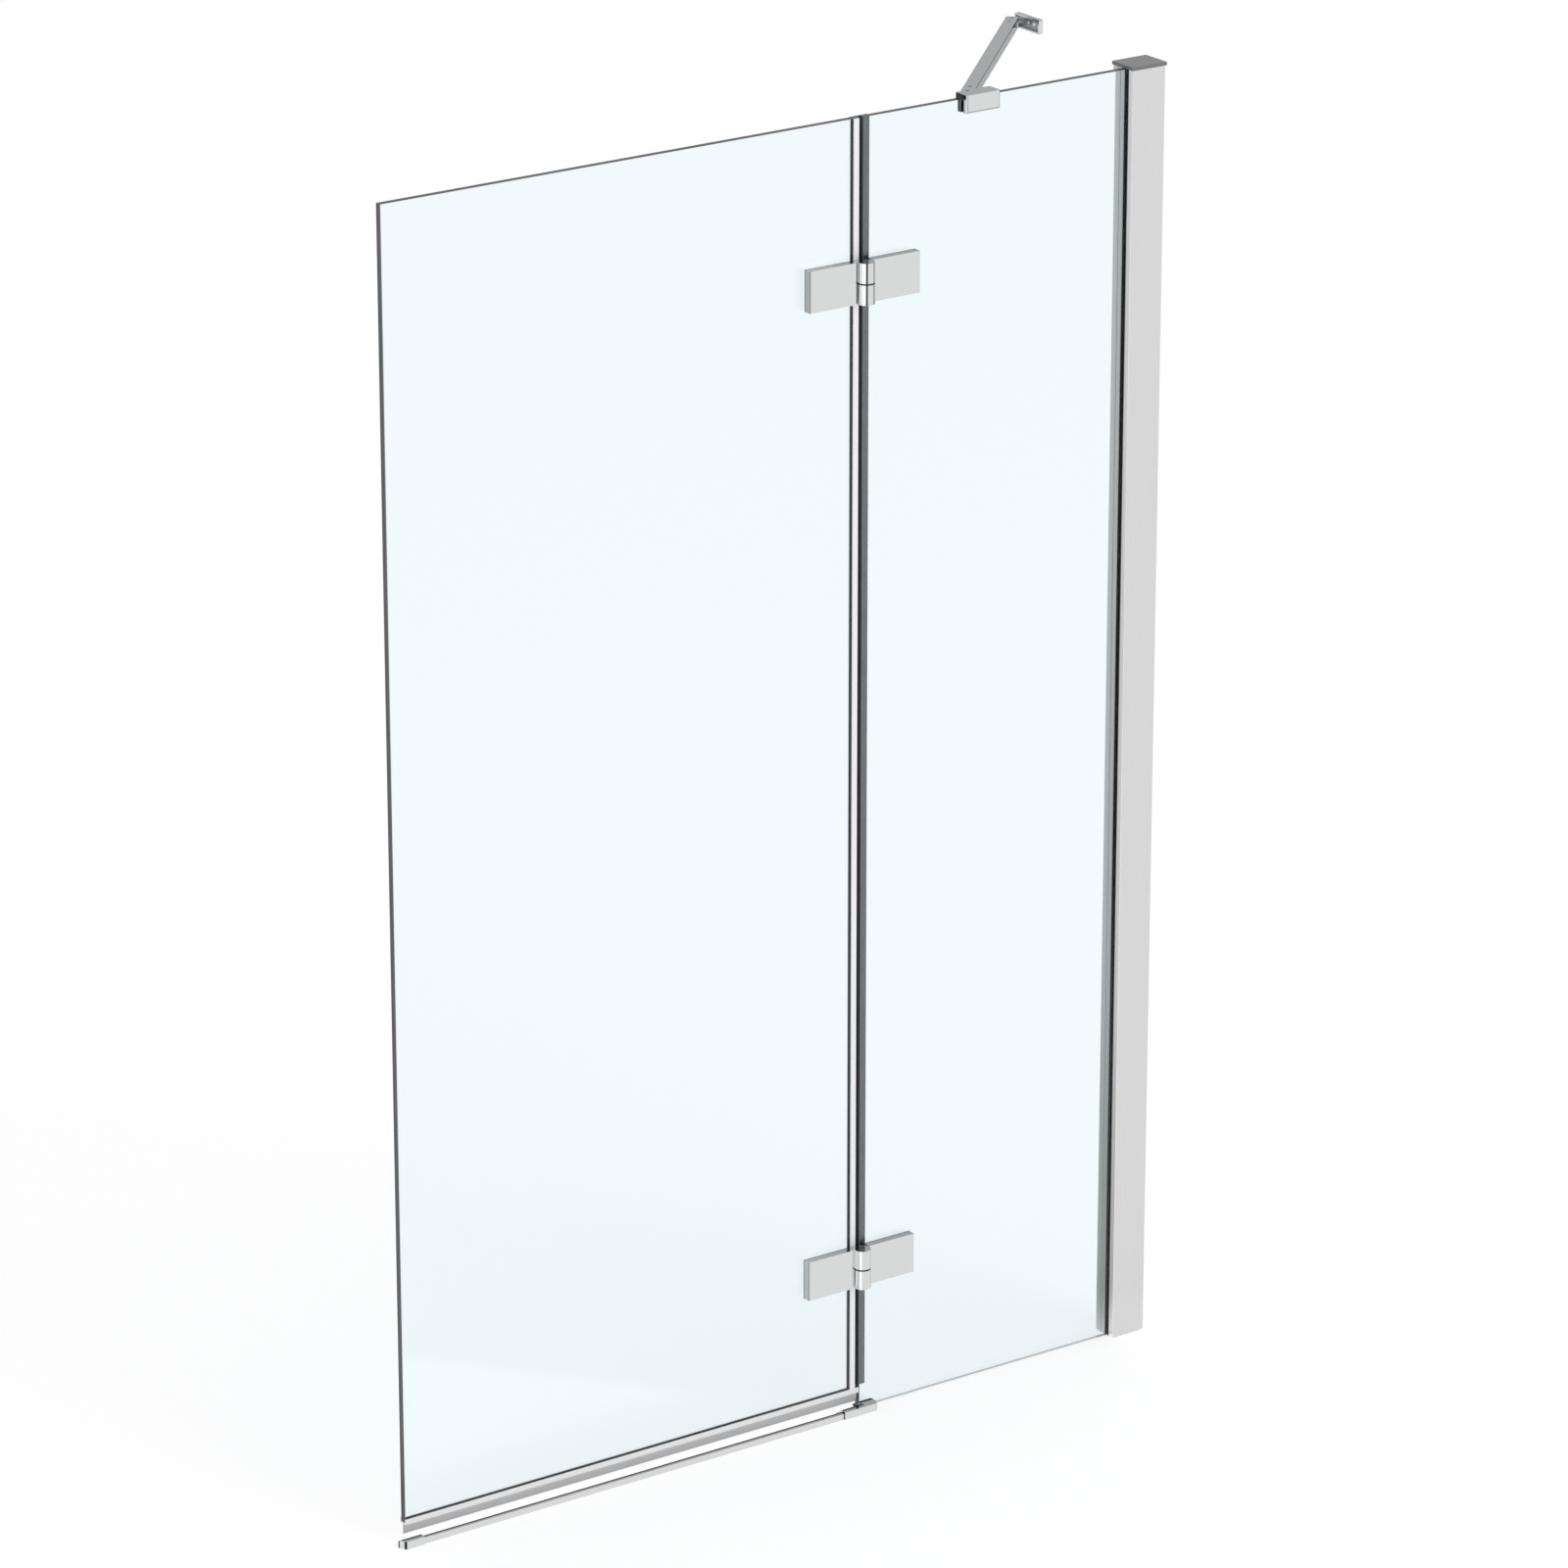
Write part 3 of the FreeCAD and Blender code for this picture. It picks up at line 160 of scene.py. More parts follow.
def none_of(tree, *masks):
    """1 where all the masks are 0."""
    return add_node(tree, "Math", (1.0, any_of(tree, *masks)), operation="SUBTRACT")


def along(tree, axis, kind="Object"):
    """Where on the piece a place lies along one of its axes in metres, or its normal's share."""
    return add_node(tree, "SeparateXYZ", (add_node(tree, "TexCoord", output=kind),), axis)


def faces(tree, axis, limit):
    """1 where the surface faces along an axis of the piece, either way."""
    squarely = add_node(tree, "Math", (along(tree, axis, "Normal"),), operation="ABSOLUTE")
    return add_node(tree, "Math", (squarely, limit), operation="GREATER_THAN")


def beyond(tree, axis, place):
    """1 past a place along an axis of the piece, in metres."""
    return add_node(tree, "Math", (along(tree, axis), place), operation="GREATER_THAN")


def within(tree, axis, place, reach):
    """1 no further than reach from a place along an axis of the piece, in metres."""
    return add_node(tree, "Math", (along(tree, axis), place, reach), operation="COMPARE")


def box_of(name):
    """The low and the high corner of a CAD node."""
    return [list(corner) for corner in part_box(name)]


def middle_of(name, axis):
    """The middle of a CAD node's box along one axis."""
    low, high = box_of(name)
    return (low["XYZ".index(axis)] + high["XYZ".index(axis)]) / 2


def from_barrel(tree):
    """How far a place on a leaf is from the barrel's axis along the screen, in metres."""
    barrel = middle_of("upper_hinge_pin", "X")
    offset = add_node(tree, "Math", (along(tree, "X"), barrel), operation="SUBTRACT")
    return add_node(tree, "Math", (offset,), operation="ABSOLUTE")


def off_the_barrel(tree):
    """The flat part of a leaf, beyond the curve that joins it to the barrel."""
    flat_from = 0.020
    return add_node(tree, "Math", (from_barrel(tree), flat_from), operation="GREATER_THAN")


def knuckle_joint_shade(tree):
    """Painted shade on the knuckles on both sides of their joint, where the gap between them lies.
    """
    barrel_reach = 0.0096
    shade_height = 0.0009
    on_barrel = add_node(tree, "Math", (from_barrel(tree), barrel_reach), operation="LESS_THAN")
    joints = [
        within(tree, "Z", middle_of(leaf, "Z"), shade_height)
        for leaf in ("upper_fixed_leaf", "lower_fixed_leaf")
    ]
    return all_of(tree, on_barrel, any_of(tree, *joints))


def shaded_leaf_bevels(tree):
    """The bevels at the outer ends of the leaves, painted darker than the faces beside them as
    shade.
    """
    slanting = [faces(tree, axis, SLANTING) for axis in "XY"]
    return all_of(tree, *slanting, off_the_barrel(tree))


def shaded_leaf_ends(tree):
    """The end faces of the leaves, painted a little darker as shade."""
    return all_of(tree, faces(tree, "X", SQUARELY), off_the_barrel(tree))


def clamp_edges(tree):
    """The rounded edges of the clamp, buffed less than its faces."""
    return none_of(tree, *(faces(tree, axis, EXACTLY) for axis in "XYZ"))


def shaded_clamp_ends(tree):
    """The end faces of the clamp round its slot, painted dark as shade."""
    slot_rim = 0.0015
    low, high = box_of("clamp_liner")
    round_slot = any_of(tree, beyond(tree, "Y", low[1]), beyond(tree, "Z", high[2] - slot_rim))
    return all_of(tree, faces(tree, "X", SQUARELY), round_slot)


def arm_groove_shadow(tree):
    """Painted shadow along the grooves of the arm, just under its top."""
    groove_top, groove_foot = 0.0008, 0.0023
    arm_top = box_of("brace_arm")[1][2]
    under = none_of(tree, beyond(tree, "Z", arm_top - groove_top))
    return all_of(tree, beyond(tree, "Z", arm_top - groove_foot), under)


def shaded_bracket_recess(tree):
    """The floor of the bracket's recess, painted darker as shade.

    It lies nearer to the wall than this share of the bracket's reach.
    """
    depth_share = 0.12
    floor_place = box_of("bracket_plate")[0][0] * depth_share
    return all_of(tree, faces(tree, "X", SQUARELY), beyond(tree, "X", floor_place))


def profile_lip_highlight(tree):
    """The narrow lip of the glass profile in front of the pane, painted brighter than the rest as a
    highlight.
    """
    in_front = none_of(tree, beyond(tree, "Y", box_of("fixed_glass")[0][1]))
    return all_of(tree, faces(tree, "X", BARELY), in_front)


def profile_rear_shade(tree):
    """The narrow faces of the glass profile behind the pane, painted darker than the lip in front
    as shade.
    """
    behind = beyond(tree, "Y", box_of("fixed_glass")[1][1])
    return all_of(tree, faces(tree, "X", SQUARELY), behind)


def crest_line(tree):
    """The rear half of the threshold's level crest, with a dark line painted on it."""
    line_from = 0.0031
    line_start = box_of("threshold_bar")[0][1] + line_from
    return all_of(tree, faces(tree, "Z", SQUARELY), beyond(tree, "Y", line_start))


def connector_crest(tree):
    """The same line on the connector, up to the fixed pane, and painted shadow where the connector
    meets that pane.
    """
    pane_shadow_width = 0.0045
    pane_start, pane_front = box_of("fixed_glass")[0][:2]
    line = all_of(tree, crest_line(tree), none_of(tree, beyond(tree, "X", pane_start)))
    at_pane = beyond(tree, "Y", pane_front - pane_shadow_width)
    return any_of(tree, line, all_of(tree, faces(tree, "Z", SQUARELY), at_pane))


def connector_end(tree):
    """The front part of the end face that holds the bar, in the shadow of the joint."""
    shadow_width = 0.0045
    past_middle = beyond(tree, "X", middle_of("threshold_connector", "X"))
    behind = beyond(tree, "Y", box_of("threshold_connector")[0][1] + shadow_width)
    return all_of(tree, faces(tree, "X", SQUARELY), none_of(tree, past_middle, behind))


def shaded_connector_bevels(tree):
    """The bevels at the other end of the connector, painted darker than its front as shade."""
    past_middle = beyond(tree, "X", middle_of("threshold_connector", "X"))
    return all_of(tree, faces(tree, "X", SLIGHTLY), past_middle)


def cap_reflection_lines(tree):
    """Two thin dark lines on the bulged end of the threshold's end cap, painted reflections on its
    rounded corners.
    """
    front_line, front_width = 0.0040, 0.0010
    rear_line, rear_width = 0.0090, 0.0012
    low = box_of("threshold_end_cap")[0]
    lines = any_of(
        tree,
        within(tree, "X", low[0] + front_line, front_width),
        within(tree, "Y", low[1] + rear_line, rear_width),
    )
    return all_of(tree, faces(tree, "X", SLIGHTLY), lines)


def shaded_cap_sides(tree):
    """The sides of the moulded cap, painted darker as shade."""
    return none_of(tree, faces(tree, "Z", SQUARELY))


def seal_fin(tree):
    """The part of the upright seal behind the middle of the glass, soft and grey."""
    return beyond(tree, "Y", 0.0)


def shaded_seal_leg(tree):
    """The leg of that part that lies on the moving pane, painted dark as shade, as it looks through
    the glass.
    """
    past_pane = beyond(tree, "X", box_of("moving_glass")[1][0])
    return all_of(tree, seal_fin(tree), none_of(tree, past_pane))


def seal_lip(tree):
    """The hanging lip of the lower seal."""
    channel_floor = 0.0022
    under_pane = box_of("moving_glass")[0][2] - channel_floor
    return none_of(tree, beyond(tree, "Z", under_pane))


# materials


def toughened_glass(look, name="toughened_float_glass", clear_under=None):
    """Clear float glass, toughened, with polished edges.

    The faces are clear with a faint green and the shallow waves of the toughening rollers. The long
    way through the pane makes its edges look dark, and the ground corners are matt. The foot of a
    pane that stands in the light takes it in and stays clear, up to the height clear_under. The
    polishing marks of the edge are far under 1 mm apart, and are drawn 3 mm apart to show.
    """
    polished_roughness, ground_roughness = 0.12, 0.45
    material, tree = new_material(name)
    is_face = faces(tree, "Y", SQUARELY)
    if clear_under is not None:
        is_face = any_of(tree, is_face, none_of(tree, beyond(tree, "Z", clear_under)))
    is_seam = faces(tree, "Y", SLIGHTLY)
    marks = grain(tree, spacing=3.0, detail=2.0, stretch=(1.0, 1.0, 0.1))
    edge = varied(tree, marks, look.edge_colour, look.edge_light)
    tint, haze = laid_over(
        tree, edge, polished_roughness, is_seam, look.seam_colour, ground_roughness
    )
    tint, haze = laid_over(tree, tint, haze, is_face, look.tint, 0.0)
    waves = grain(tree, look.wave_spacing, detail=0.0)
    settings = {
        "IOR": 1.52,
        "Base Color": tint,
        "Roughness": haze,
        "Transmission Weight": is_face,
        "Normal": add_node(tree, "Bump", {"Height": waves, "Distance": look.wave_height / 1000.0}),
    }
    finish_material(tree, settings)
    return material


def grained(
    name,
    kind,
    base,
    roughness,
    spread,
    spacing,
    depth,
    shade,
    detail=3.0,
    stretch=(1.0, 1.0, 1.0),
    toned=(),
):
    """A material whose colour, gloss and skin all vary a little with one grain.

    The grain's spacing and depth are in millimetres. Its dark places are darker by the share shade,
    and its gloss varies by the share spread either way. Each row of toned has a function that makes
    the mask of a place in the tree, and the colour and roughness that lie there.
    """
    material, tree = new_material(name)
    pattern = grain(tree, spacing, detail, stretch)
    tint = varied(tree, pattern, darkened(base, shade), base)
    gloss = {"To Min": roughness * (1.0 - spread), "To Max": roughness * (1.0 + spread)}
    haze = add_node(tree, "MapRange", {"Value": pattern, **NOISE_SPAN, **gloss})
    for mask_of, tone, dullness in toned:
        tint, haze = laid_over(tree, tint, haze, mask_of(tree), tone, dullness)
    skin = add_node(tree, "Bump", {"Height": pattern, "Distance": depth / 1000.0})
    finish_material(tree, {**kind, "Base Color": tint, "Roughness": haze, "Normal": skin})
    return material


def metal(name, base, roughness, **settings):
    """A metal with a grain."""
    return grained(name, {"Metallic": 1.0}, base, roughness, spread=0.2, **settings)


def plastic(name, base, roughness, ior=1.5, spread=0.15, shade=0.08, **settings):
    """A plastic or rubber with a grain."""
    return grained(name, {"IOR": ior}, base, roughness, spread, shade=shade, **settings)


def chrome_plate(look, name, toned=()):
    """Bright chrome on die-cast zinc, polished: a mirror with the faintest polishing haze.

    The buffing marks are too fine to show, and are drawn 4 mm apart.
    """
    return metal(
        name, look.chrome, look.chrome_roughness, spacing=4.0, depth=0.001, shade=0.02, toned=toned
    )


def anodised_aluminium(look, name, stretch, toned=()):
    """Extruded aluminium, chemically brightened and anodised: die lines run along it.

    Real die lines are about 0.2 mm apart, and are drawn 1.2 mm apart to show.
    """
    return metal(
        name,
        look.aluminium,
        look.aluminium_roughness,
        spacing=1.2,
        depth=0.002,
        shade=0.03,
        stretch=stretch,
        toned=toned,
    )


def stainless_steel(look):
    """Turned stainless steel: fine rings about the axis, slightly warm.

    The turning feed is about 0.1 mm, and is drawn as 0.5 mm.
    """
    rings = (1.0, 1.0, 6.0)
    return metal(
        "turned_stainless_steel",
        look.steel,
        roughness=0.22,
        spacing=0.5,
        depth=0.003,
        shade=0.08,
        stretch=rings,
    )


def oiled_steel(look):
    """Ground steel pins, oiled: darker than the plate round them.

    The grinding marks are too fine to show, and are drawn 0.5 mm apart.
    """
    rings = (1.0, 1.0, 6.0)
    return metal(
        "oiled_ground_steel",
        look.pin,
        roughness=0.3,
        spacing=0.5,
        depth=0.003,
        shade=0.1,
        stretch=rings,
    )


def silver_moulding(look):
    """ABS with a silver lacquer: a fine sparkle of flakes, even and soft, with painted shade at the
    sides.

    The flakes are about 0.05 mm across, and are drawn 0.6 mm apart.
    """
    roughness = look.silver_roughness
    sides = [(shaded_cap_sides, look.silver_side_shade, roughness)]
    return plastic(
        "silver_lacquered_abs", look.silver, roughness, spacing=0.6, depth=0.004, toned=sides
    )


def black_gasket(look):
    """EPDM rubber, extruded: matt black, paler where it has been rubbed.

    Its bloom is finer than 0.1 mm, and is drawn 0.8 mm apart.
    """
    return plastic("black_epdm_gasket", look.gasket, roughness=0.55, spacing=0.8, depth=0.01)


def grey_liner(look):
    """Moulded PVC liner: plain grey with a dull skin.

    The grain of its spark-eroded mould is finer than 0.1 mm, and is drawn 0.8 mm apart.
    """
    return plastic("moulded_grey_pvc", look.liner, roughness=0.5, spacing=0.8, depth=0.008)


def white_acetal(look):
    """Machined acetal: waxy white.

    The cutter marks are about 0.2 mm apart, and are drawn 0.7 mm apart.
    """
    return plastic(
        "machined_white_acetal", look.acetal, roughness=0.35, ior=1.48, spacing=0.7, depth=0.005
    )


def clear_nylon(look):
    """Moulded nylon bushes, milky, with flow marks 1 mm apart."""
    return plastic(
        "moulded_natural_nylon", look.nylon, roughness=0.4, ior=1.53, spacing=1.0, depth=0.005
    )


def milky_seal(look, name, stretch, toned):
    """Co-extruded PVC: a bright milky channel with duller zones, drawn along its length.

    The draw lines are about 0.1 mm apart, and are drawn 0.9 mm apart to show.
    """
    return plastic(
        name,
        look.front,
        roughness=0.3,
        ior=1.54,
        spread=1 / 6,
        shade=0.05,
        spacing=0.9,
        depth=0.004,
        detail=2.0,
        stretch=stretch,
        toned=toned,
    )


def dress(material, *names):
    """Give CAD nodes a material."""
    for name in names:
        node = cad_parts[name]
        if not node.material_slots:
            node.data.materials.append(material)
        for slot in node.material_slots:
            slot.material = material


# settings


def hex_property(name, text, value):
    """A colour setting with an sRGB hex value as its default."""
    return bpy.props.FloatVectorProperty(
        name=name,
        description=text,
        subtype="COLOR",
        size=3,
        min=0.0,
        max=1.0,
        default=linear(value),
    )


def number_property(name, text, value, **more):
    """A number setting, which doesn't go below 0 unless more gives another min."""
    limits = {"min": 0.0, **more}
    return bpy.props.FloatProperty(name=name, description=text, default=value, **limits)


class GlassLook(bpy.types.PropertyGroup):
    tint: hex_property("Tint", "What the glass leaves of white light", "#F0F9FB")
    edge_colour: hex_property("Edge", "Polished edge of the pane", "#3E4042")
    edge_light: hex_property("Edge light", "Lighter streaks in the edge", "#505356")
    seam_colour: hex_property("Seam", "Ground corner of the edge", "#6C7172")
    wave_spacing: number_property(
        "Wave spacing", "Between two roller waves, in millimetres", 300.0, min=10.0
    )
    wave_height: number_property("Wave height", "Depth of the roller waves, in millimetres", 0.02)


class MetalLook(bpy.types.PropertyGroup):
    chrome: hex_property("Chrome", "Hinges and brace", "#D8DADA")
    chrome_roughness: number_property("Chrome roughness", "Haze of the chrome", 0.07, max=1.0)
    # painted shade on the bevels of the leaves and the connector
    bevel: hex_property("Bevel", "Bevels at the ends of the leaves", "#808282")
    # painted shade on the end faces of the leaves
    leaf_end_shade: hex_property("Leaf end", "End faces of the leaves", "#C5C7C7")
    shadow: hex_property("Shadow", "Grooves of the arm and ends of the clamp", "#343636")
    # painted shade in the bracket's recess
    recess_shade: hex_property("Dull", "Recess of the bracket", "#C4C6C6")
    # painted highlight on the narrow lip of the profile
    lip: hex_property("Lip", "Narrow lip of the profile in front of the pane", "#F6EFEF")
    # painted shade on the narrow faces of the profile behind the pane
    rear: hex_property("Rear", "Narrow faces of the profile behind the pane", "#C5C7C7")
    aluminium: hex_property("Aluminium", "Wall profile and threshold bar", "#DADBDA")
    aluminium_roughness: number_property(
        "Aluminium roughness", "Haze of the aluminium", 0.28, max=1.0
    )
    silver: hex_property("Silver", "Top of the moulded cap", "#A6A8A7")
    # painted shade on the sides of the cap
    silver_side_shade: hex_property("Silver side", "Sides of the moulded cap", "#767877")
    silver_roughness: number_property("Silver roughness", "Haze of the cap", 0.4, max=1.0)
    steel: hex_property("Steel", "Hinge pins and screws", "#77777A")
    pin: hex_property("Pin", "Pins of the brace", "#46464A")
    acetal: hex_property("Acetal", "Cams of the hinges", "#E9E8E2")
    nylon: hex_property("Nylon", "Bushes of the hinges", "#C9CCC6")


class SealLook(bpy.types.PropertyGroup):
    gasket: hex_property("Gasket", "Black gaskets", "#1B1C1C")
    liner: hex_property("Liner", "Grey liner of the clamp", "#7C7E7E")
    front: hex_property("Seal front", "Hard channel of the seals", "#FBFBFB")
    fin: hex_property("Seal fin", "Soft fin of the upright seal", "#6C7072")
    # painted shade on the rear leg of the upright seal
    leg_shade: hex_property("Seal leg", "Rear leg of the upright seal", "#3C3F41")
    lip: hex_property("Seal lip", "Hanging lip of the lower seal", "#DADADA")


class StudioLook(bpy.types.PropertyGroup):
    floor: hex_property("Floor", "The pale floor", "#D0D0D0")
    floor_light: number_property("Floor light", "Light that the floor gives by itself", 0.66)
    floor_size: number_property("Floor size", "Side of the floor", 80.0, min=1.0, unit="LENGTH")
    mirror_left: number_property(
        "Mirrored left", "Lit white card at the left, as metal mirrors it", 1.45, min=0.1
    )
    mirror_gap: number_property(
        "Mirrored gap", "Dark gap between the cards, as metal mirrors it", 0.08
    )
    mirror_front: number_property("Mirrored front", "White card in front, as metal mirrors it", 1.0)
    mirror_back: number_property("Mirrored back", "Grey card behind, as metal mirrors it", 0.48)
    mirror_side: number_property(
        "Mirrored side", "Card beside the grey one, as metal mirrors it", 0.8
    )
    dome_light: number_property("Dome light", "Light of the dome over the floor", 0.52)
    dome_colour: bpy.props.FloatVectorProperty(
        name="Dome colour",
        description="Colour of the dome's light, in linear values",
        subtype="COLOR",
        default=(0.97, 0.97, 1.0),
    )
    key_power: number_property("Key light", "Power of the soft key light in watts", 80.0)
    key_size: number_property("Key size", "Side of the key light", 4.0, min=0.1, unit="LENGTH")
    key_place: bpy.props.FloatVectorProperty(
        name="Key place",
        description="Where the key light stands",
        subtype="TRANSLATION",
        unit="LENGTH",
        default=(1.5, -6.0, 3.5),
    )
    key_tilt: number_property(
        "Key tilt",
        "How far the key light is raised from pointing down",
        math.radians(68),
        subtype="ANGLE",
        unit="ROTATION",
    )
    key_turn: number_property(
        "Key turn",
        "Turn of the key light about the vertical",
        math.radians(18),
        min=-math.pi,
        subtype="ANGLE",
        unit="ROTATION",
    )
    camera_place: bpy.props.FloatVectorProperty(
        name="Camera place",
        description="Where the camera stands",
        subtype="TRANSLATION",
        unit="LENGTH",
        default=(-4.841, -6.227, 3.530),
    )
    camera_elevation: number_property(
        "Camera elevation",
        "How far the camera looks down",
        math.radians(19.985),
        min=-math.pi,
        subtype="ANGLE",
        unit="ROTATION",
    )
    camera_azimuth: number_property(
        "Camera azimuth",
        "Turn of the camera about the vertical",
        math.radians(-34.90),
        min=-math.pi,
        subtype="ANGLE",
        unit="ROTATION",
    )
    focal_length: number_property(
        "Focal length", "Focal length in millimetres on a 36 mm sensor", 171.0, min=10.0
    )


# pieces


class BATHSCREEN_OT_glass(bpy.types.Operator):
    """Give the two panes their glass"""

    bl_idname = "bathscreen.glass"
    bl_label = "Glass panes"

    def execute(self, context):
        look = context.scene.bath_glass
        foot_height = 0.0015
        dress(toughened_glass(look), "moving_glass")
        clear_under = box_of("fixed_glass")[0][2] + foot_height
        standing = toughened_glass(look, "toughened_float_glass_standing", clear_under)
        dress(standing, "fixed_glass")
        return {"FINISHED"}


class BATHSCREEN_OT_wall_profile(bpy.types.Operator):
    """Finish the wall channel, the glass profile and their cap"""

    bl_idname = "bathscreen.wall_profile"
    bl_label = "Wall profile"

    def execute(self, context):
        look = context.scene.bath_metal
        upright = (1.0, 1.0, 0.004)
        toned = [
            # a painted highlight on the lip
            (profile_lip_highlight, look.lip, look.aluminium_roughness),
            # painted shade on the faces behind the pane
            (profile_rear_shade, look.rear, look.aluminium_roughness),
        ]
        aluminium = anodised_aluminium(look, "bright_anodised_aluminium", upright, toned)
        dress(aluminium, "wall_channel", "glass_profile")
        dress(silver_moulding(look), "wall_profile_cap")
        return {"FINISHED"}


class BATHSCREEN_OT_gaskets(bpy.types.Operator):
    """Finish the gaskets, liners and the support block"""

    bl_idname = "bathscreen.gaskets"
    bl_label = "Gaskets"

    def execute(self, context):
        dress(
            black_gasket(context.scene.bath_seal),
            "front_glass_gasket",
            "rear_glass_gasket",
            "glass_support_block",
            "fixed_hinge_gaskets",
            "moving_hinge_gaskets",
            "threshold_liner",
        )
        dress(grey_liner(context.scene.bath_seal), "clamp_liner")
        return {"FINISHED"}


class BATHSCREEN_OT_hinges(bpy.types.Operator):
    """Finish the hinge leaves, cams and bushes"""

    bl_idname = "bathscreen.hinges"
    bl_label = "Hinges"

    def execute(self, context):
        look = context.scene.bath_metal
        levels = ("upper", "lower")
        sides = ("fixed", "moving")
        toned = [
            # painted shade on the leaves' ends, bevels and knuckle joint
            (shaded_leaf_ends, look.leaf_end_shade, look.chrome_roughness),
            (shaded_leaf_bevels, look.bevel, look.chrome_roughness),
            (knuckle_joint_shade, look.shadow, look.chrome_roughness),
        ]
        chrome = chrome_plate(look, "chrome_with_painted_hinge_shade", toned)
        dress(chrome, *(f"{level}_{side}_leaf" for level in levels for side in sides))
        dress(white_acetal(look), *(f"{level}_{side}_cam" for level in levels for side in sides))
        dress(clear_nylon(look), *(f"{side}_hinge_bushes" for side in sides))
        return {"FINISHED"}


class BATHSCREEN_OT_fixings(bpy.types.Operator):
    """Finish the pins and screws"""

    bl_idname = "bathscreen.fixings"
    bl_label = "Pins and screws"

    def execute(self, context):
        look = context.scene.bath_metal
        dress(oiled_steel(look), "brace_pins", "bracket_pivot_pin")
        dress(
            stainless_steel(look),
            "profile_fixing_screws",
            "fixed_hinge_screws",
            "moving_hinge_screws",
            "upper_hinge_pin",
            "lower_hinge_pin",
            "clamp_screw",
            "brace_tongue",
        )
        return {"FINISHED"}


class BATHSCREEN_OT_seals(bpy.types.Operator):
    """Finish the seals of the moving pane"""

    bl_idname = "bathscreen.seals"
    bl_label = "Seals"

    def execute(self, context):
        look = context.scene.bath_seal
        upright, level = (1.0, 1.0, 0.01), (0.01, 1.0, 1.0)
        # the leg's dark is painted shade
        rear = [(seal_fin, look.fin, None), (shaded_seal_leg, look.leg_shade, None)]
        dress(milky_seal(look, "upright_pvc_seal", upright, rear), "vertical_seal")
        lip = [(seal_lip, look.lip, None)]
        dress(milky_seal(look, "lower_pvc_seal", level, lip), "bottom_seal")
        return {"FINISHED"}


class BATHSCREEN_OT_threshold(bpy.types.Operator):
    """Finish the threshold strip and its end pieces"""

    bl_idname = "bathscreen.threshold"
    bl_label = "Threshold"

    def execute(self, context):
        look = context.scene.bath_metal
        level = (0.004, 1.0, 1.0)
        strip = [(crest_line, look.shadow, look.aluminium_roughness)]
        bar = anodised_aluminium(look, "bright_anodised_aluminium_level", level, strip)
        dress(bar, "threshold_bar")
        # painted reflections on the end cap's corners, and the dark line of its crest
        lines = [
            (crest_line, look.shadow, look.chrome_roughness),
            (cap_reflection_lines, look.shadow, look.chrome_roughness),
        ]
        dress(chrome_plate(look, "chrome_with_dark_lines", lines), "threshold_end_cap")
        ends = [
            # painted shadow at the pane and at the end that holds the bar, and painted shade on the
            # bevels
            (connector_crest, look.shadow, look.chrome_roughness),
            (connector_end, look.shadow, look.chrome_roughness),
            (shaded_connector_bevels, look.bevel, look.chrome_roughness),
        ]
        dress(chrome_plate(look, "chrome_with_shaded_connector_ends", ends), "threshold_connector")
        return {"FINISHED"}


class BATHSCREEN_OT_brace(bpy.types.Operator):
    """Finish the brace from the clamp to the wall bracket"""

    bl_idname = "bathscreen.brace"
    bl_label = "Brace"

    def execute(self, context):
        look = context.scene.bath_metal
        # the clamp's edges are buffed less, and the floor of the bracket's recess is left as cast,
        # with its darker colour painted as shade
        part_buffed, as_cast = 0.35, 0.6
        # painted shadow along the arm's grooves
        grooves = [(arm_groove_shadow, look.shadow, look.chrome_roughness)]
        dress(chrome_plate(look, "chrome_with_painted_groove_shadow", grooves), "brace_arm")
        ends = [
            (clamp_edges, look.chrome, part_buffed),
            # painted shade on the clamp's end faces
            (shaded_clamp_ends, look.shadow, look.chrome_roughness),
        ]
        dress(chrome_plate(look, "chrome_with_shaded_clamp_ends", ends), "brace_clamp")
        recess = [(shaded_bracket_recess, look.recess_shade, as_cast)]
        dress(chrome_plate(look, "chrome_with_shaded_recess", recess), "bracket_plate")
        return {"FINISHED"}


# the cards that stand round the hinges: their ends in degrees about the vertical, from +X by +Y
CARDS = (
    (-180, "left"),
    (-131, "left"),
    (-129, "front"),
    (-16, "front"),
    (-9, "gap"),
    (25, "gap"),
    (30, "back"),
    (104, "back"),
    (112, "side"),
    (180, "side"),
)
# how far the middle of the cards is from the wall, in metres
CARDS_CENTRE = 0.4
# the gap in the front card as an angle and half its width, and how many metres off it starts
GAP_MIDDLE = math.radians(-116)
GAP_HALF = math.radians(12.5)
GAP_START = 1.2
# where the white in front gives way to the grey behind, and how far off the cards show instead
TURNOVER = {"From Min": -0.02, "From Max": 0.10}
CARDS_SHOW = {"From Min": 0.08, "From Max": 0.20}


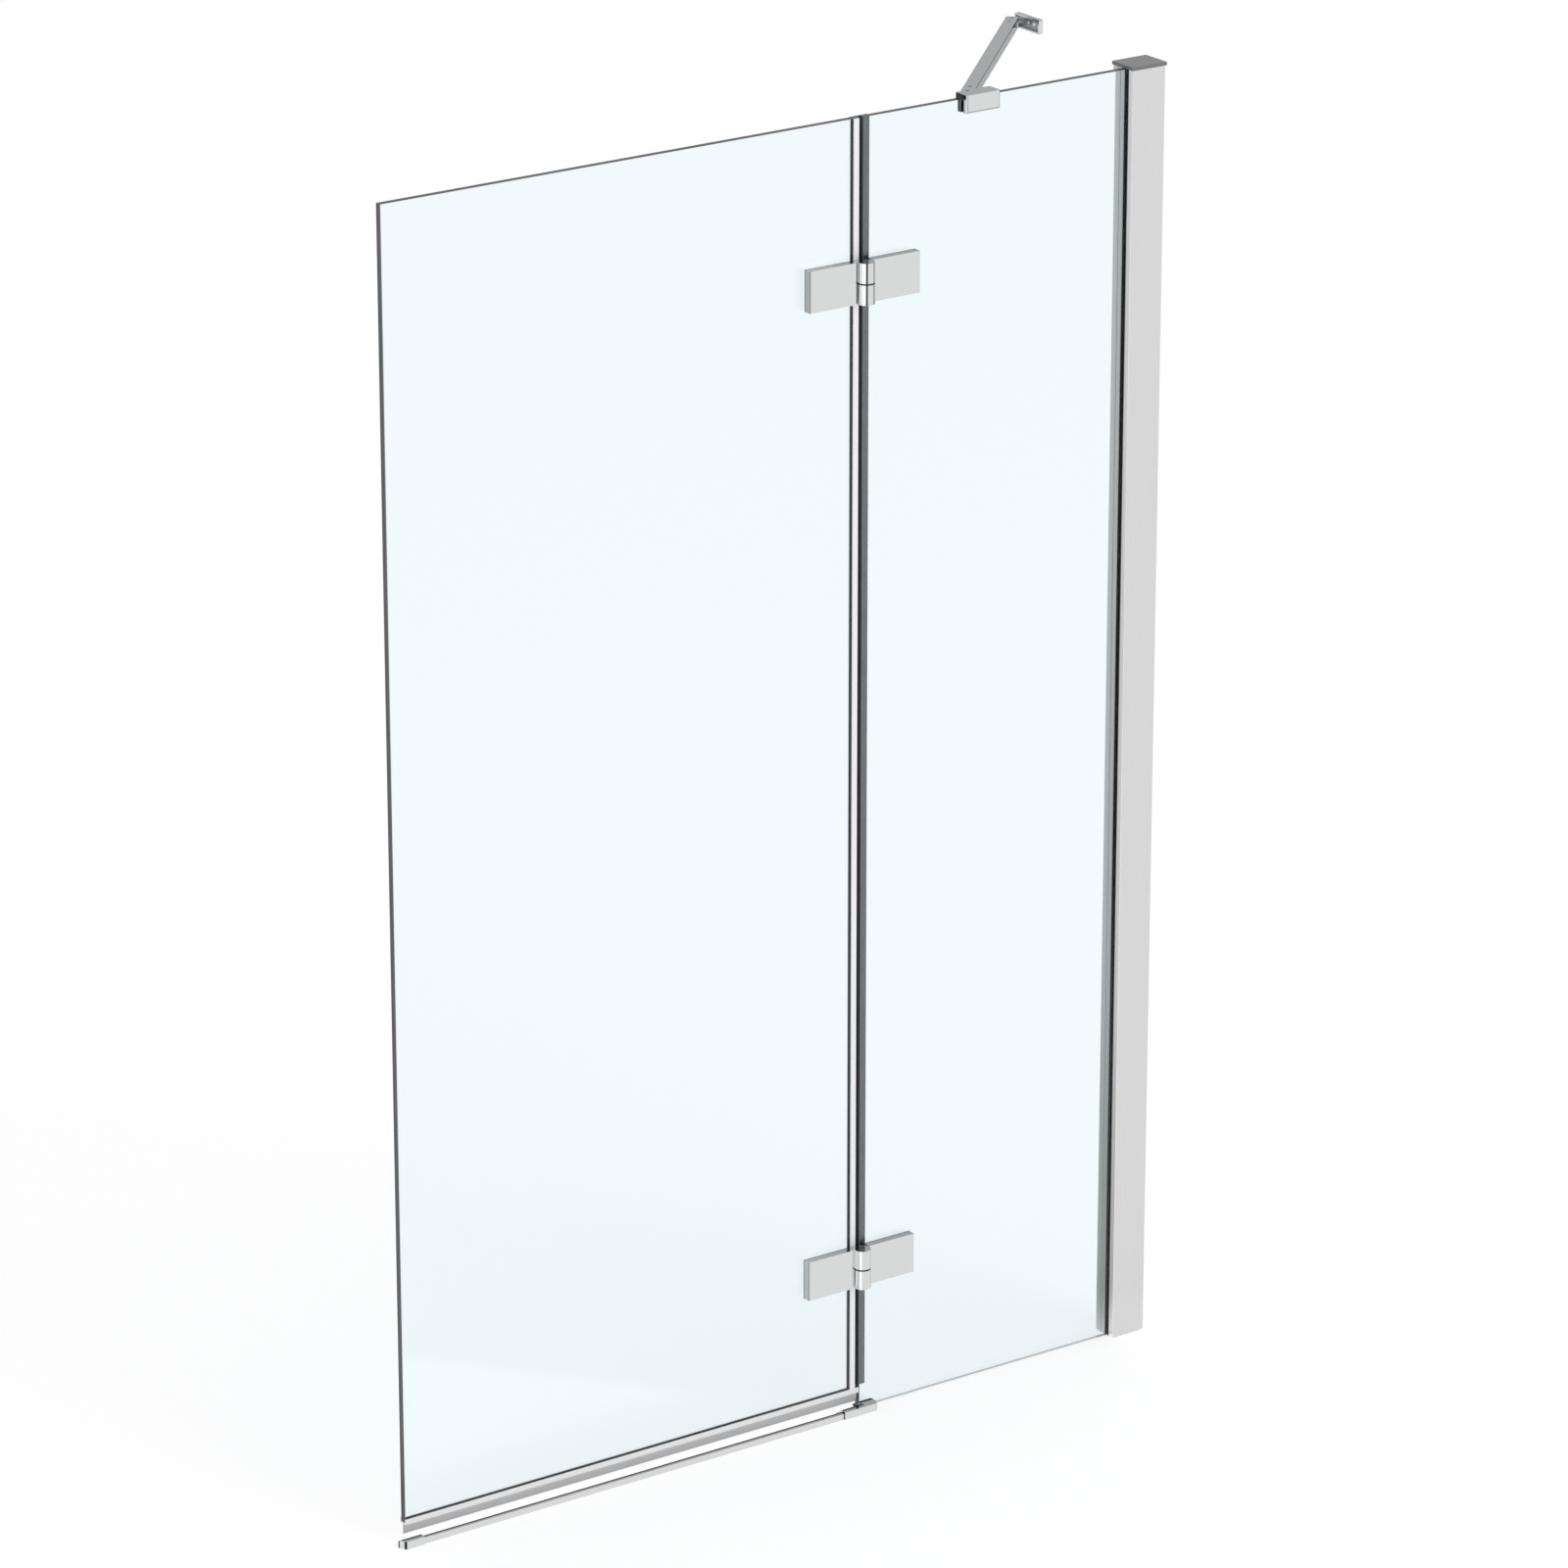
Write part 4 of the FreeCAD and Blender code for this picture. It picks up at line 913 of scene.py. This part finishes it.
class BATHSCREEN_OT_studio(bpy.types.Operator):
    """Build the floor, the light and the camera"""

    bl_idname = "bathscreen.studio"
    bl_label = "Studio"

    def execute(self, context):
        look = context.scene.bath_studio
        self.make_floor(look)
        self.make_light(look)
        self.make_camera(look)
        context.scene.view_settings.view_transform = "Standard"
        return {"FINISHED"}

    def make_floor(self, look):
        """A pale floor lit from below as well, as a light table is, so that it stays white."""
        clearance = 0.0005
        half = look.floor_size / 2
        under = cad_box[0][2] - clearance
        mesh = bpy.data.meshes.new("floor")
        signs = ((-1, -1), (1, -1), (1, 1), (-1, 1))
        mesh.from_pydata([(x * half, y * half, under) for x, y in signs], [], [(0, 1, 2, 3)])
        floor = bpy.data.objects.new("floor", mesh)
        bpy.context.scene.collection.objects.link(floor)
        material, tree = new_material("pale_floor")
        # the paper's speckle is too fine to show, and is drawn 4 mm apart
        speckle = grain(tree, spacing=4.0, detail=2.0)
        paper = {
            "Base Color": varied(tree, speckle, darkened(look.floor, shade=0.01), look.floor),
            "Roughness": 0.9,
            "Emission Color": opaque((1, 1, 1)),
            "Emission Strength": look.floor_light,
        }
        seen = add_node(tree, "BsdfPrincipled", paper)
        mirrored = add_node(tree, "Emission", {"Strength": self.mirrored_light(tree, look)})
        bounces = add_node(tree, "LightPath", output="Glossy Depth")
        in_mirror = add_node(tree, "Math", (bounces, 0.5), operation="GREATER_THAN")
        both = add_node(tree, "MixShader", (in_mirror, seen, mirrored))
        add_node(tree, "OutputMaterial", {"Surface": both}, is_active_output=True)
        mesh.materials.append(material)

    def mirrored_light(self, tree, look):
        """What polished metal mirrors of the cards that stand round the screen.

        These are a lit white card at the left, a white one in front, a dark gap, a grey one behind
        and a paler one beside it. The front card has a dark gap too, which starts further off.
        Close to the screen there are only the white in front and the grey behind.
        """
        x = add_node(tree, "Math", (along(tree, "X"), CARDS_CENTRE), operation="ADD")
        y = along(tree, "Y")
        turn = add_node(tree, "Math", (y, x), operation="ARCTAN2")
        # the ramp goes round once, from -180 to 180 degrees
        share = add_node(tree, "Math", (turn, 0.5 / math.pi, 0.5), operation="MULTIPLY_ADD")
        ramp = add_node(tree, "ValToRGB", {"Fac": share})
        strengths = {
            "left": look.mirror_left,
            "gap": look.mirror_gap,
            "front": look.mirror_front,
            "back": look.mirror_back,
            "side": look.mirror_side,
        }
        # a new ramp has two stops, and its colours go no higher than 1, so they are shares
        stops = ramp.node.color_ramp.elements
        for _ in CARDS[2:]:
            stops.new(1.0)
        for stop, (degrees, card) in zip(stops, CARDS):
            stop.position = degrees / 360 + 0.5
            stop.color = opaque([strengths[card] / look.mirror_left] * 3)
        cards = add_node(tree, "Math", (ramp, look.mirror_left), operation="MULTIPLY")
        squares = [add_node(tree, "Math", (place, 2.0), operation="POWER") for place in (x, y)]
        distance = add_node(tree, "Math", squares, operation="ADD")
        in_gap = all_of(
            tree,
            add_node(tree, "Math", (turn, GAP_MIDDLE, GAP_HALF), operation="COMPARE"),
            add_node(tree, "Math", (distance, GAP_START**2), operation="GREATER_THAN"),
        )
        loss = look.mirror_gap - 1.0
        kept = add_node(tree, "Math", (in_gap, loss, 1.0), operation="MULTIPLY_ADD")
        far = add_node(tree, "Math", (cards, kept), operation="MULTIPLY")
        step = {"interpolation_type": "SMOOTHSTEP"}
        ends = {"To Min": look.mirror_front, "To Max": look.mirror_back}
        near = add_node(tree, "MapRange", {"Value": y, **TURNOVER, **ends}, **step)
        off = add_node(tree, "Math", (y,), operation="ABSOLUTE")
        away = add_node(tree, "MapRange", {"Value": off, **CARDS_SHOW}, **step)
        numbers = {FACTOR: away, NUMBER_A: near, NUMBER_B: far}
        return add_node(tree, "Mix", numbers, NUMBER_RESULT, data_type="FLOAT")

    def make_light(self, look):
        """A grey dome and one large soft lamp high in front."""
        world = bpy.data.worlds.new("dome")
        world.use_nodes = True
        tree = world.node_tree
        tree.nodes.clear()
        dome = {"Color": opaque(look.dome_colour), "Strength": look.dome_light}
        light = add_node(tree, "Background", dome)
        add_node(tree, "OutputWorld", {"Surface": light}, is_active_output=True)
        bpy.context.scene.world = world
        lamp = bpy.data.lights.new("key_light", "AREA")
        lamp.shape = "SQUARE"
        lamp.size = look.key_size
        lamp.energy = look.key_power
        key = bpy.data.objects.new("key_light", lamp)
        key.location = look.key_place
        key.rotation_euler = (look.key_tilt, 0, look.key_turn)
        bpy.context.scene.collection.objects.link(key)

    def make_camera(self, look):
        """A long lens at the place and angle of the photograph."""
        lens = bpy.data.cameras.new("camera")
        lens.sensor_width = 36.0
        lens.lens = look.focal_length
        lens.clip_end = 300.0
        camera = bpy.data.objects.new("camera", lens)
        camera.location = look.camera_place
        camera.rotation_euler = (math.pi / 2 - look.camera_elevation, 0, look.camera_azimuth)
        bpy.context.scene.collection.objects.link(camera)
        bpy.context.scene.camera = camera


OPERATORS = (
    BATHSCREEN_OT_glass,
    BATHSCREEN_OT_wall_profile,
    BATHSCREEN_OT_gaskets,
    BATHSCREEN_OT_hinges,
    BATHSCREEN_OT_fixings,
    BATHSCREEN_OT_seals,
    BATHSCREEN_OT_threshold,
    BATHSCREEN_OT_brace,
    BATHSCREEN_OT_studio,
)


class BATHSCREEN_PT_panel(bpy.types.Panel):
    """Lists the settings and the steps of the bath screen"""

    bl_idname = "BATHSCREEN_PT_panel"
    bl_label = "Bath screen"
    bl_space_type = "VIEW_3D"
    bl_region_type = "UI"
    bl_category = "Bath screen"

    def draw(self, context):
        for name in SETTINGS:
            group = getattr(context.scene, name)
            box = self.layout.box()
            for prop in group.bl_rna.properties:
                if prop.identifier not in ("rna_type", "name"):
                    box.prop(group, prop.identifier)
        for operator in OPERATORS:
            self.layout.operator(operator.bl_idname)


SETTINGS = {
    "bath_glass": GlassLook,
    "bath_metal": MetalLook,
    "bath_seal": SealLook,
    "bath_studio": StudioLook,
}


def register():
    for group in SETTINGS.values():
        bpy.utils.register_class(group)
    for name, group in SETTINGS.items():
        setattr(bpy.types.Scene, name, bpy.props.PointerProperty(type=group))
    for operator in OPERATORS:
        bpy.utils.register_class(operator)
    bpy.utils.register_class(BATHSCREEN_PT_panel)


def unregister():
    bpy.utils.unregister_class(BATHSCREEN_PT_panel)
    for operator in reversed(OPERATORS):
        bpy.utils.unregister_class(operator)
    for name, group in SETTINGS.items():
        delattr(bpy.types.Scene, name)
        bpy.utils.unregister_class(group)


def main():
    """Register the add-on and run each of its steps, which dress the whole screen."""
    register()
    for operator in OPERATORS:
        group, name = operator.bl_idname.split(".")
        getattr(getattr(bpy.ops, group), name)()


if __name__ == "__main__":
    main()
